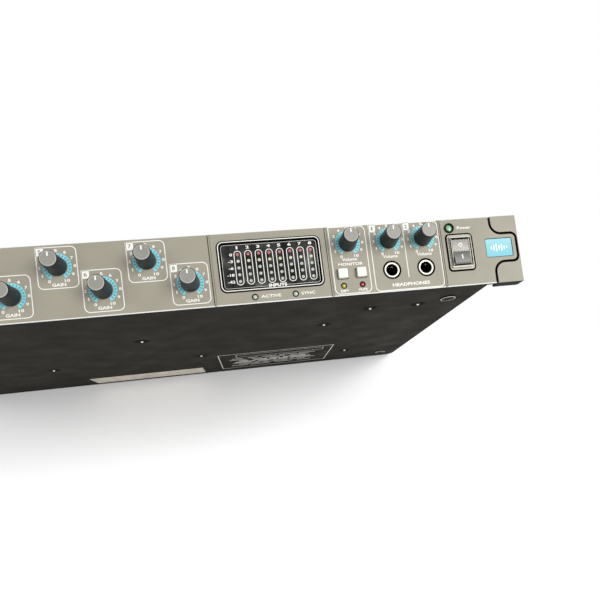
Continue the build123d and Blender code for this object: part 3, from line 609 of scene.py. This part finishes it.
paint_faces("front_panel", (PANEL, BARE, BLACK), panel_face)
for cap_node in ("end_cap_left", "end_cap_right"):
    paint_faces(cap_node, (PANEL, BLACK), cap_face)
paint_faces("indicator_leds", (RED_LENS, YELLOW_LENS, GREEN_LENS, PALE_LENS), lamp_face)
paint_faces("meter_leds", (ROSE_LENS, CREAM_LENS, PALE_LENS), meter_face)
paint_faces("jack_sockets", (BLACK, NICKEL), jack_face)
paint_faces("switch_housing", (SWITCH_FRAME, BLACK), switch_face)
paint_faces("power_rocker", (ROCKER_PAINTED_SHADE, BLACK), rocker_face)
paint_faces("case_screws", (STEEL, BLACK), screw_face)
for nodes, material in (
    (("chassis_tray", "top_cover", "rack_ears"), COAT),
    (("jack_nuts",), NICKEL),
    (("coax_sockets", "data_ports"), PLATED),
    (("meter_bezel",), BLACK),
    (("standoffs", "board_screws"), STEEL),
    (("front_input_sockets", "rear_input_sockets", "midi_sockets"), BLACK),
    (("optical_ports", "mains_inlet", "power_led_holder"), BLACK),
    (("main_board", "power_board", "front_board"), BOARD),
    (("pot_bodies", "push_switches", "power_components"), COMPONENT),
    (("ribbon_cable",), RIBBON),
    (("rubber_feet",), RUBBER),
    (("meter_window",), WINDOW),
    (("corner_badge",), BADGE),
    (tuple(knobs), KNOB),
    (tuple(f"{k}_cap" for k in knobs), CAP),
    (tuple(buttons), BUTTON),
):
    for node in nodes:
        paint(node, material)


# ---------------------------------------------------------------- print on the front
NECK, TAB, TAB_LOW, TAB_TOP = 222.5, 239.4, 14.4, 32.0  # the panel's edge beside an end cap
TAB_TURN, SWEEP, SEAM, BEVEL = 3.0, 7.5, 1.0, 0.5
STATUS_Z, PHANTOM_X, INPUT_LAMP_Z = 3.8, -158.5, 4.4
INPUT_PLACES = (-205.0, -177.0)
LAMP_PLACES = (
    (66.8, STATUS_Z, 1.4),
    (91.4, STATUS_Z, 1.4),
    (YELLOW_LAMP_X, 6.2, 1.3),
    (RED_LAMP_X, 6.2, 1.3),
    (PHANTOM_X, 25.6, 1.3),
    (PHANTOM_X, 6.6, 1.3),
    (INPUT_PLACES[0], INPUT_LAMP_Z, 1.3),
    (INPUT_PLACES[1], INPUT_LAMP_Z, 1.3),
)
GROOVES = (43.3, 114.3, 188.3, -153.5)
BOX_RADII = (0, 3, 3, 3)  # a printed box is square where its tag sits
LINE = 0.5
TAG_WIDTH, TAG_HEIGHT = 4.2, 4.8
BOX_WIDTH = 21.7
DIAL_STEPS = 10
DIAL_SWEEP = 300.0
RING_IN, RING_OUT = 5.8, 7.95
NUMBER_R = 9.55
TICK_HALF = 0.09
EVEN_REACH, ODD_REACH = (12.6, 12.1), (12.5, 11.6)  # how far a gain box goes below and above its knob


def dial_angle(value):
    """Degrees from 12 o'clock to a number of the dial."""
    return DIAL_SWEEP * (value / DIAL_STEPS - 0.5)


def add_tag(white, dark, u, v, digit):
    """White corner tag whose top left corner is at u, v, with a digit knocked out of it."""
    loop = rounded_loop(u, v - TAG_HEIGHT, u + TAG_WIDTH, v, (0, 0, 1.1, 0))
    add_prism(white, FRONT, loop)
    wide = 1.0 if digit == "1" else 1.8
    centre = (u + TAG_WIDTH / 2, v - TAG_HEIGHT / 2)
    add_words(dark, FRONT, digit, *centre, wide, 2.4, 0.03, high=PRINT + 0.03)


def add_tick(bm, u, v, angle):
    """A thin radial line across the ring."""
    sin, cos = math.sin(angle), math.cos(angle)
    corners = (
        (RING_IN, -TICK_HALF),
        (RING_OUT, -TICK_HALF),
        (RING_OUT, TICK_HALF),
        (RING_IN, TICK_HALF),
    )
    loop = [(u + sin * out + cos * side, v + cos * out - sin * side) for out, side in corners]
    add_prism(bm, FRONT, loop, high=PRINT + 0.02)


def add_dial(white, ring, dots, u, v):
    """Ring round a knob with its numbers 0 to 10."""
    outer = circle(u, v, RING_OUT, 100, -DIAL_SWEEP / 2, DIAL_SWEEP)
    inner = circle(u, v, RING_IN, 100, -DIAL_SWEEP / 2, DIAL_SWEEP)
    add_prism(ring, FRONT, outer, inner, closed=False)
    for half in range(1, 2 * DIAL_STEPS):
        angle = math.radians(dial_angle(half / 2))
        mid = (RING_IN + RING_OUT) / 2
        spot = circle(u + mid * math.sin(angle), v + mid * math.cos(angle), 0.42, 10)
        add_prism(dots, FRONT, spot, high=PRINT + 0.03)
        add_tick(dots, u, v, angle)
    for value in range(DIAL_STEPS + 1):
        angle = math.radians(dial_angle(value))
        width = {1: 0.8, DIAL_STEPS: 2.9}.get(value, 1.6)
        place = (u + NUMBER_R * math.sin(angle), v + NUMBER_R * math.cos(angle))
        add_words(white, FRONT, str(value), *place, width, 1.75, 0.03)


def gain_boxes():
    """Number, middle, bottom and top of the printed box of each gain knob."""
    boxes = []
    for number in range(1, 9):
        centre = middle(f"gain_knob_{number}")
        below, above = EVEN_REACH if number % 2 == 0 else ODD_REACH
        boxes.append((number, centre.x, centre.z, centre.z - below, centre.z + above))
    return boxes


def front_print():
    """All print of the front, in one piece for each ink."""
    white, ring, dots, dark = (bmesh.new() for _ in range(4))
    for number, x, z, low, high in gain_boxes():
        left = x - BOX_WIDTH / 2
        add_outline(white, FRONT, left, low, left + BOX_WIDTH, high, BOX_RADII, LINE)
        add_tag(white, dark, left, high, str(number))
        add_dial(white, ring, dots, x, z)
        add_words(white, FRONT, "GAIN", x + 0.2, z - 10.5, 7.6, 1.9, 0.03)
    for node in ("monitor_knob", "phones_knob_1", "phones_knob_2"):
        centre = middle(node)
        add_dial(white, ring, dots, centre.x, centre.z)
        add_words(white, FRONT, "Volume", centre.x, 22.6, 9.6, 2.0, 0.02)
    monitor_print(white)
    headphone_print(white, dark)
    status_print(white)
    input_print(white, dark)
    finish_piece(white, "front_print_white", INK, CHASSIS)
    finish_piece(ring, "front_print_rings", CYAN, CHASSIS)
    finish_piece(dots, "front_print_ring_dots", DEEP_CYAN, CHASSIS)
    finish_piece(dark, "front_print_tag_digits", PANEL_INK, CHASSIS)


def monitor_print(white):
    """Box round the monitor knob and its two buttons."""
    left, right = 116.2, 139.2
    add_outline(white, FRONT, left, 1.1, right, 43.4, (0, 3.3, 3.3, 3.3), LINE)
    add_words(white, FRONT, "MONITOR", (left + right) / 2, 19.6, 15.6, 1.8, 0.03)
    add_words(white, FRONT, "DIM", YELLOW_LAMP_X, 2.9, 4.6, 1.6, 0.03)
    add_words(white, FRONT, "MUTE", RED_LAMP_X, 2.9, 5.6, 1.6, 0.03)


def headphone_print(white, dark):
    """Box round the two headphone knobs and jacks, with a line between them."""
    left, middle_line, right, top = 142.0, 164.1, 187.0, 43.5
    add_outline(white, FRONT, left, 0.9, right, top, BOX_RADII, LINE)
    add_tag(white, dark, left, top, "1")
    add_box(white, FRONT, middle_line - LINE / 2, 8.4, middle_line + LINE / 2, top)
    add_tag(white, dark, middle_line, top, "2")
    add_words(white, FRONT, "HEADPHONES", 165.0, 4.1, 24.5, 2.1, 0.03)


def status_print(white):
    """Words beside the two status lamps and the power lamp."""
    add_words(white, FRONT, "ACTIVE", 76.5, STATUS_Z, 12.0, 1.8, 0.02)
    add_words(white, FRONT, "SYNC", 99.2, STATUS_Z, 8.6, 1.8, 0.02)
    add_words(white, FRONT, "Power", 205.0, 37.9, 9.4, 1.9, 0.02)


def input_print(white, dark):
    """Print round the two front inputs and the phantom power buttons."""
    half, top = 13.4, 42.8
    for number, x in enumerate(INPUT_PLACES, 1):
        add_outline(white, FRONT, x - half, 1.4, x + half, top, BOX_RADII, LINE)
        add_tag(white, dark, x - half, top, str(number))
        add_words(white, FRONT, "INST", x + 6.0, INPUT_LAMP_Z, 5.0, 1.6, 0.03)
    centre = middle(buttons[-1]).x
    for z, words in ((33.0, "48V 1-4"), (14.0, "48V 5-8")):
        add_words(white, FRONT, words, centre, z + 5.0, 8.6, 1.5, 0.03)


# ---------------------------------------------------------------- meter
def meter_print():
    """Outline and number of each column, the level scale and one word."""
    face, low, high = plate_front("meter_window")
    white = bmesh.new()
    first = leds_low.x / MM + LED_R
    pitch = (leds_high.x - leds_low.x - 2 * LED_R * MM) / MM / (METER_COLUMNS - 1)
    bottom = METER_TOP - (METER_ROWS - 1) * METER_PITCH
    half, past = 2.05, 2.1
    for column in range(METER_COLUMNS):
        x = first + pitch * column
        loop = (x - half, bottom - past, x + half, METER_TOP + past)
        add_outline(white, face, *loop, (half,) * 4, 0.42)
        wide = 1.0 if column == 0 else 2.1
        add_words(white, face, str(column + 1), x, METER_TOP + 4.2, wide, 1.8, 0.03)
    for row, label in enumerate(("0", "-3", "-6", "-18", "-42")):
        width = 1.25 * len(label) + 0.5
        place = (first - 3.1 - width / 2, METER_TOP - METER_PITCH * row)
        add_words(white, face, label, *place, width, 1.7, 0.03)
    place = ((low.x + high.x) / 2 + 2.8, bottom - 3.75)
    add_words(white, face, "INPUTS", *place, 11.0, 2.1, 0.04, high=PRINT + 0.04)
    finish_piece(white, "meter_print", INK, CHASSIS)


def inset_line(bm, node, inset, corner, line, **levels):
    """Outline on the front of a node, a margin inside its edge."""
    face, low, high = plate_front(node)
    loop = (low.x + inset, low.z + inset, high.x - inset, high.z - inset)
    add_outline(bm, face, *loop, (corner,) * 4, line, **levels)


def meter_trim():
    """Bright line on the bezel, painted shade on the step inside it and a fine painted highlight at the
    window's edge.
    """
    bright, dark, fine = (bmesh.new() for _ in range(3))
    inset_line(bright, "meter_bezel", 1.0, 3.1, 0.5, high=0.04)
    # Painted shade on the window's sunk step, then a painted highlight along its edge.
    inset_line(dark, "meter_window", 0.45, 2.4, 0.9)
    inset_line(fine, "meter_window", 1.1, 1.8, 0.2)
    finish_piece(bright, "meter_bright_line", INK, CHASSIS)
    finish_piece(dark, "meter_step_shade", SHADE_SHEETS[0], CHASSIS)
    finish_piece(fine, "meter_edge_highlight", NICKEL, CHASSIS)


def switch_outline():
    """Painted shade in the gaps round the switch frame and the rocker, and pale collars on the frame's
    two steps.
    """
    _, low, high = plate_front("switch_housing")
    frame_level = plate_front("power_rocker")[1].y - low.y + 0.02
    gap, collar = bmesh.new(), bmesh.new()
    beside = 0.6
    loop = (low.x - beside, low.z - beside, high.x + beside, high.z + beside)
    # Painted shade in the gap round the frame and in the gap round the rocker.
    add_outline(gap, FRONT, *loop, (2.2,) * 4, 2 * beside)
    inset_line(gap, "power_rocker", -0.45, 0.5, 0.7, low=-2.2, high=frame_level)
    finish_piece(gap, "switch_outline", SHADE_SHEETS[0], CHASSIS)
    low_step = (0, 1.6, -SUNK, 0.58)
    high_step = (0.9, 1.0, 0.55, FACE - low.y - 0.05)
    for inset, corner, start, top in (low_step, high_step):
        loop = (low.x + inset, low.z + inset, high.x - inset, high.z - inset)
        add_outline(collar, FRONT, *loop, (corner,) * 4, 0.1, low=start, high=top)
    finish_piece(collar, "switch_collar", SWITCH_FRAME, CHASSIS)


def groove_lines():
    """Painted shade on one side of each vertical groove of the panel."""
    bm = bmesh.new()
    for x in GROOVES:
        # Painted shade on the groove's darker side.
        add_box(bm, FRONT, x - 0.75, BEVEL, x - 0.35, PANEL_TOP - BEVEL, low=-0.5, high=-0.3)
    finish_piece(bm, "groove_lines", SHADE_SHEETS[2], CHASSIS)


# ---------------------------------------------------------------- marks on the moving parts
def add_turned(bm, x, z, profile):
    """Solid of revolution about an axis along Y, from (radius, y) points on the axis at both ends."""
    steps = 96
    rings = []
    for radius, y in profile:
        places = circle(x, z, radius, steps) if radius else [(x, z)]
        rings.append([bm.verts.new(Vector((u, y, v)) * MM) for u, v in places])
    for near, far in zip(rings, rings[1:]):
        for n in range(steps):
            m = (n + 1) % steps
            corners = [near[n % len(near)], near[m % len(near)], far[m % len(far)], far[n % len(far)]]
            bm.faces.new(list(dict.fromkeys(corners)))


def knob_tops():
    """Turned cap of each knob: a shallow dish with a paler rim, which is a painted highlight, and a
    white pointer line.
    """
    dish, rim, edge, thick = 0.12, 0.3, 0.3, 1.6
    pointer_half, pointer_from, pointer_margin = 0.4, 1.3, 0.8
    for node in knobs:
        _, low, high = plate_front(f"{node}_cap")
        x, z = middle(node).x, middle(node).z
        radius, tip = (high.x - low.x) / 2, low.y
        bm = bmesh.new()
        profile = (
            (0, tip + dish),
            (radius - edge - rim - dish, tip + dish),
            (radius - edge - rim, tip),
            (radius - edge, tip),
            (radius, tip + edge),
            (radius, tip + thick),
            (0, tip + thick),
        )
        add_turned(bm, x, z, profile)
        # The rim and its chamfer take the second material, a paler colour painted as a highlight.
        for face in bm.faces:
            centre = face.calc_center_median() / MM
            out = math.hypot(centre.x - x, centre.z - z) > radius - edge - rim - dish - 0.01
            face.material_index = 1 if out and centre.y < tip + edge else 0
        top = finish_piece(bm, f"{node}_top", CAP, f"{node}_body", second=RIM_HIGHLIGHT)
        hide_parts(f"{node}_cap")
        pointer = bmesh.new()
        start, end = z + pointer_from, z + radius - pointer_margin
        loop = rounded_loop(x - pointer_half, start, x + pointer_half, end, (0.2,) * 4, steps=3)
        plate = Surface((0, tip + dish, 0), (1, 0, 0), (0, 0, 1), (0, -1, 0))
        add_prism(pointer, plate, loop, high=dish * 0.6)
        finish_piece(pointer, f"{node}_pointer", INK, f"{node}_body")


def rocker_marks():
    """O and I on the two flats of the rocker."""
    pivot = next(j for j in frame["joints"] if j["name"] == "power_rocker_tip")
    px, py, pz = (c / MM for c in pivot["pos_m"])
    lean, slope = math.radians(7.0), math.radians(13.95)  # tilt at rest, angle of the lower flat
    reach = 2.4  # from the pivot to the bend between the flats
    bend = (px, py - reach * math.cos(lean), pz + reach * math.sin(lean))
    upper = Surface(bend, (1, 0, 0), (0, 0, 1), (0, -1, 0))
    down = (0, -math.sin(slope), -math.cos(slope))
    lower = Surface(bend, (1, 0, 0), down, (0, -math.cos(slope), math.sin(slope)))
    bm = bmesh.new()
    add_prism(bm, upper, circle(0, 4.1, 1.3, 28), circle(0, 4.1, 0.8, 28))
    add_box(bm, lower, -0.42, 2.4, 0.42, 5.6)
    finish_piece(bm, "rocker_marks", INK, "rocker_body")


def jack_places():
    """Middle of each headphone jack on the front."""
    mounts = [m for m in frame["record"]["mounts"] if m["name"].startswith("headphone_jack")]
    return [(m["pos_m"][0] / MM, m["pos_m"][2] / MM) for m in mounts]


def jack_springs():
    """Contact leaf just inside the mouth of each jack."""
    bm = bmesh.new()
    for x, z in jack_places():
        add_box(bm, FRONT, x + 0.2, z + 2.2, x + 1.2, z + 2.9, low=-7.0, high=-2.2)
    finish_piece(bm, "jack_springs", BRASS, CHASSIS)


def lamp_rings():
    """Painted shade: a dark ring round each small lamp of the front, in the gap round its lens."""
    near, far = 0.12, 0.62
    bm = bmesh.new()
    for x, z, radius in LAMP_PLACES:
        # Painted shade in the gap round each lamp.
        add_prism(bm, FRONT, circle(x, z, radius + far), circle(x, z, radius + near))
    finish_piece(bm, "lamp_rings", SHADE_SHEETS[1], CHASSIS)


def jack_rings():
    """Painted shade in the mouth and round the outer edge of the headphone jacks."""
    mouth, edge = (3.85, 3.2, -0.16), (5.15, 4.75, 0.03)  # outer and inner radius, level
    bm = bmesh.new()
    for x, z in jack_places():
        for outer, inner, level in (mouth, edge):
            ring = circle(x, z, outer, 48), circle(x, z, inner, 48)
            # Painted shade in the jack's mouth and round its edge.
            add_prism(bm, FRONT, *ring, low=-0.3, high=level)
    finish_piece(bm, "jack_rings", SHADE_SHEETS[0], CHASSIS)


def seam_side(grow, side):
    """The panel's edge beside an end cap, grown by a margin, from the top down."""
    reach = NECK + grow
    sweep = SWEEP - grow
    high, low = TAB_TOP + grow, TAB_LOW - grow
    points = [(reach, PANEL_TOP - BEVEL)]
    points += circle(reach + sweep, high + sweep, sweep, 10, 270, -90)
    points += circle(TAB - TAB_TURN, TAB_TOP - TAB_TURN, TAB_TURN + grow, 8, 0, 90)
    points += circle(TAB - TAB_TURN, TAB_LOW + TAB_TURN, TAB_TURN + grow, 8, 90, 90)
    points += circle(reach + sweep, low - sweep, sweep, 10, 0, -90)
    points.append((reach, BEVEL))
    return [(side * x, z) for x, z in points]


def seam_lines():
    """Painted shade on the rounded edges on both sides of the seams between panel and end caps."""
    wide = 0.32
    bm = bmesh.new()
    for side in (-1, 1):
        for inner, outer in ((-wide, 0.0), (SEAM, SEAM + wide)):
            # Painted shade along the seam's edges.
            add_prism(bm, FRONT, seam_side(inner, side), seam_side(outer, side), high=0.02, closed=False)
    finish_piece(bm, "seam_lines", SHADE_SHEETS[0], CHASSIS)


# ---------------------------------------------------------------- badge, label and sticker
def badge_pattern():
    """Abstract bars of different lengths on the corner badge."""
    face = plate_front("corner_badge")[0]
    centre = middle("corner_badge")
    heights, pitch, half = (2.2, 3.8, 5.2, 3.0, 4.4, 2.4, 1.4), 1.8, 0.45
    bm = bmesh.new()
    for step, tall in enumerate(heights):
        x = centre.x + pitch * (step - (len(heights) - 1) / 2)
        add_box(bm, face, x - half, centre.z - tall / 2, x + half, centre.z + tall / 2)
    finish_piece(bm, "badge_pattern", INK, CHASSIS)


def under_label():
    """Printed outline with plain bars under the case."""
    bm = bmesh.new()
    u0, u1, v0, v1 = 32.0, 139.0, 166.0, 242.0
    margin, shortest, row_pitch = 8, 14, 6.5
    add_outline(bm, UNDER, u0, v0, u1, v1, (0, 0, 0, 0), 0.7)
    add_outline(bm, UNDER, u0 + 16, v0 + 6, u1 - 9, v0 + 17, (0, 0, 0, 0), 0.4)
    for row in range(7):
        v = v0 + 24 + row * row_pitch
        tall = 2.6 if row in (2, 3) else 1.3
        left = u0 + margin + random.uniform(0, 10)
        while left < u1 - margin - shortest:
            right = min(u1 - margin, left + random.uniform(8, 26))
            add_box(bm, UNDER, left, v, right, v + tall)
            left = right + random.uniform(2, 6)
    finish_piece(bm, "under_label", INK, CHASSIS)


def under_sticker():
    """Blank foil label at the rear edge of the underside."""
    bm = bmesh.new()
    add_box(bm, UNDER, -95.0, 221.0, 13.0, 251.0, high=0.12)
    finish_piece(bm, "under_sticker", FOIL, CHASSIS)


def screw_places():
    """Middle of each screw head under the case, from the outermost points of its flat."""
    head_reach = 6
    heads = []
    for vertex in frame["nodes"]["case_screws"].data.vertices:
        x, y, z = vertex.co / MM
        if z > TRAY_BOTTOM + 0.05:
            continue
        for head in heads:
            if abs(head[0][0] - x) < head_reach and abs(head[0][1] - y) < head_reach:
                head.append((x, y))
                break
        else:
            heads.append([(x, y)])
    spots = []
    for head in heads:
        xs, ys = zip(*head)
        spots.append(((min(xs) + max(xs)) / 2, (min(ys) + max(ys)) / 2))
    return spots


def screw_dimples():
    """Painted shade of a pressed hollow round each screw, in rings that fade outwards."""
    radii = (2.2, 3.2, 4.4, 5.8)
    for number, shade in enumerate(HOLLOW_SHADE_TONES):
        bm = bmesh.new()
        for x, y in screw_places():
            outer, inner = radii[number + 1], radii[number]
            outer_ring = circle(x, y - FACE, outer, 36)
            # Painted shade round each screw.
            add_prism(bm, UNDER, outer_ring, circle(x, y - FACE, inner, 36), high=0.01)
        finish_piece(bm, f"screw_dimples_{number + 1}", shade, CHASSIS)


def screw_glints():
    """Bright burr at the middle of each screw's cross recess."""
    steps = 16
    bm = bmesh.new()
    for x, y in screw_places():
        rings = []
        for radius, drop in ((1.0, 0.0), (0.85, 0.5), (0.4, 0.85)):
            places = circle(x, y - FACE, radius, steps)
            rings.append([bm.verts.new(UNDER.point(u, v, drop)) for u, v in places])
        for near, far in zip(rings, rings[1:]):
            for n in range(steps):
                m = (n + 1) % steps
                bm.faces.new((near[n], near[m], far[m], far[n]))
        bm.faces.new(rings[0])
        bm.faces.new(rings[-1])
    finish_piece(bm, "screw_glints", GLINT, CHASSIS, smooth=True)


def foot_rings():
    """Pale ring round the bottom of each foot."""
    bm = bmesh.new()
    low, high = (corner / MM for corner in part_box("rubber_feet"))
    sole = Surface((0, 0, low.z), (1, 0, 0), (0, 1, 0), (0, 0, -1))
    radius = 4.75  # of a foot
    for x in (low.x + radius, high.x - radius):
        for y in (low.y + radius, high.y - radius):
            outer, inner = circle(x, y, radius + 0.4, 40), circle(x, y, radius - 0.2, 40)
            add_prism(bm, sole, outer, inner, low=-0.3, high=-0.02)
    finish_piece(bm, "foot_rings", INK, CHASSIS)


# ---------------------------------------------------------------- print on the rear
def rear_words(bm, words, x, z, width, height=1.8):
    """Lettering on the rear wall; x is the object's own."""
    add_words(bm, BACK, words, -x, z, width, height, 0.02)


def opening_places():
    """Middle of each stated opening, by its name."""
    places = {}
    for opening in frame["record"]["physics"]["openings"]:
        low, high = opening["box_m"]
        places[opening["name"]] = ((low[0] + high[0]) / 2 / MM, (low[2] + high[2]) / 2 / MM)
    return places


def rear_print():
    """Numbers and plain words round the sockets of the rear."""
    bm = bmesh.new()
    places = opening_places()
    for name, (x, z) in places.items():
        number = name.rsplit("_", 1)[-1]
        if name.startswith("rear_input"):
            rear_words(bm, number, x, 38.6, 1.8, 2.2)
            rear_words(bm, "MIC / LINE", x, 6.0, 12.0, 1.7)
        if name.startswith("line_output"):
            side = 7.6 if z > PANEL_TOP / 2 else -7.6
            rear_words(bm, number, x, z + side, 1.8 * len(number), 1.9)
    outputs = [x for name, (x, _) in places.items() if name.startswith("line_output")]
    left, right = min(outputs), max(outputs)
    rear_words(bm, "LINE OUTPUTS", (left + right) / 2, 23.0, 22.0, 2.0)
    optical = places["optical_port_1"][0]
    inlet = (places["mains_inlet_1"][0] + places["mains_inlet_2"][0]) / 2
    rear_words(bm, "OPTICAL", optical, 22.0, 10.0)
    rear_words(bm, "AC", inlet, 37.4, 4.0, 2.2)
    low, high = (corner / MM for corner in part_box("midi_sockets"))
    for x, words in ((low.x + 9, "IN"), (high.x - 9, "OUT")):
        rear_words(bm, words, x, 33.4, 1.7 * len(words))
    rear_words(bm, "MIDI", (low.x + high.x) / 2, 9.4, 8.0, 2.0)
    coax, data = middle("coax_sockets").x, middle("data_ports").x
    rear_words(bm, "COAX", coax, 22.0, 7.2)
    rear_words(bm, "DATA", data, 22.0, 7.0)
    finish_piece(bm, "rear_print", INK, CHASSIS)


def combo_latches():
    """Metal release tab at the top of each combination socket."""
    bm = bmesh.new()
    places = [p for name, p in opening_places().items() if name.startswith("rear_input")]
    reach = rear_reach()
    for x, z in places:
        add_box(bm, BACK, -x - 2.2, z + 9.9, -x + 2.2, z + 11.6, low=0.2, high=reach)
    finish_piece(bm, "rear_latches", STEEL, CHASSIS)


def rear_reach():
    """How far the flanges of the rear sockets stand out of the wall, and a little more."""
    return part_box("rear_input_sockets")[1].y / MM - REAR + 0.25


front_print()
lamp_rings()
seam_lines()
groove_lines()
meter_print()
meter_trim()
switch_outline()
knob_tops()
rocker_marks()
jack_springs()
jack_rings()
badge_pattern()
under_label()
under_sticker()
screw_dimples()
screw_glints()
foot_rings()
rear_print()
combo_latches()


# ---------------------------------------------------------------- stage, light and camera
WORLD_LIGHT = 0.3


def floor():
    """Pale surface that the unit's rear bottom edge stands on, sloping away below the front."""
    slope = math.radians(64)
    edge = Vector((0, REAR, 0)) * MM
    away = Vector((0, -math.cos(slope), -math.sin(slope)))
    bm = bmesh.new()
    back = -0.006  # it starts a little behind the edge, so that no gap shows under the case
    half, length = 3, 3
    places = ((-half, back), (half, back), (half, length), (-half, length))
    corners = [edge + Vector((x, 0, 0)) + away * t for x, t in places]
    bm.faces.new([bm.verts.new(c) for c in corners])
    mesh = bpy.data.meshes.new("floor")
    bm.to_mesh(mesh)
    bm.free()
    made = Finish("floor_paper", (0.96, 0.96, 0.96), 0.9)
    made.mottle(3.0, 0.01)
    mesh.materials.append(made.material)
    obj = bpy.data.objects.new("floor", mesh)
    bpy.context.collection.objects.link(obj)


def softbox(name, place, aim, size, power):
    """Square area light turned towards a point."""
    light = bpy.data.lights.new(name, "AREA")
    light.shape = "SQUARE"
    light.size = size
    light.energy = power
    obj = bpy.data.objects.new(name, light)
    obj.location = place
    obj.rotation_euler = (Vector(aim) - Vector(place)).to_track_quat("-Z", "Y").to_euler()
    bpy.context.collection.objects.link(obj)


def world():
    """White backdrop that lights the scene more gently than it looks."""
    made = bpy.data.worlds.new("studio")
    made.use_nodes = True
    nodes, links = made.node_tree.nodes, made.node_tree.links
    seen = nodes["Background"]
    seen.inputs["Color"].default_value = (1, 1, 1, 1)
    seen.inputs["Strength"].default_value = 1.0
    soft = nodes.new("ShaderNodeBackground")
    soft.inputs["Color"].default_value = (1, 1, 1, 1)
    soft.inputs["Strength"].default_value = WORLD_LIGHT
    rays = nodes.new("ShaderNodeLightPath")
    pick = nodes.new("ShaderNodeMixShader")
    links.new(rays.outputs["Is Camera Ray"], pick.inputs["Fac"])
    links.new(soft.outputs["Background"], pick.inputs[1])
    links.new(seen.outputs["Background"], pick.inputs[2])
    links.new(pick.outputs["Shader"], nodes["World Output"].inputs["Surface"])
    bpy.context.scene.world = made


def camera():
    """Seen from below and in front, a little right of the middle, looking slightly up."""
    data = bpy.data.cameras.new("camera")
    data.sensor_width = 36.0
    data.lens = 31.03
    data.shift_x = -0.0603
    data.shift_y = 0.1855
    data.clip_start, data.clip_end = 0.01, 50
    right = Vector(CAMERA_RIGHT)
    down = Vector(CAMERA_DOWN)
    ahead = right.cross(down)
    rotation = Matrix((right, -down, -ahead)).transposed().to_4x4()
    obj = bpy.data.objects.new("camera", data)
    obj.matrix_world = Matrix.Translation(Vector(CAMERA_PLACE) * MM) @ rotation
    bpy.context.collection.objects.link(obj)
    bpy.context.scene.camera = obj


floor()
softbox("key_light", (1.35, -2.1, 0.1), (0, 0, 0), 1.5, 68)
softbox("fill_light", (-1.5, -2.3, 0.1), (0, 0, 0), 1.6, 22)
softbox("rear_light", (0.9, 2.8, 1.9), (0, 0, 0), 2.0, 240)
world()
camera()
bpy.context.scene.view_settings.view_transform = "Standard"
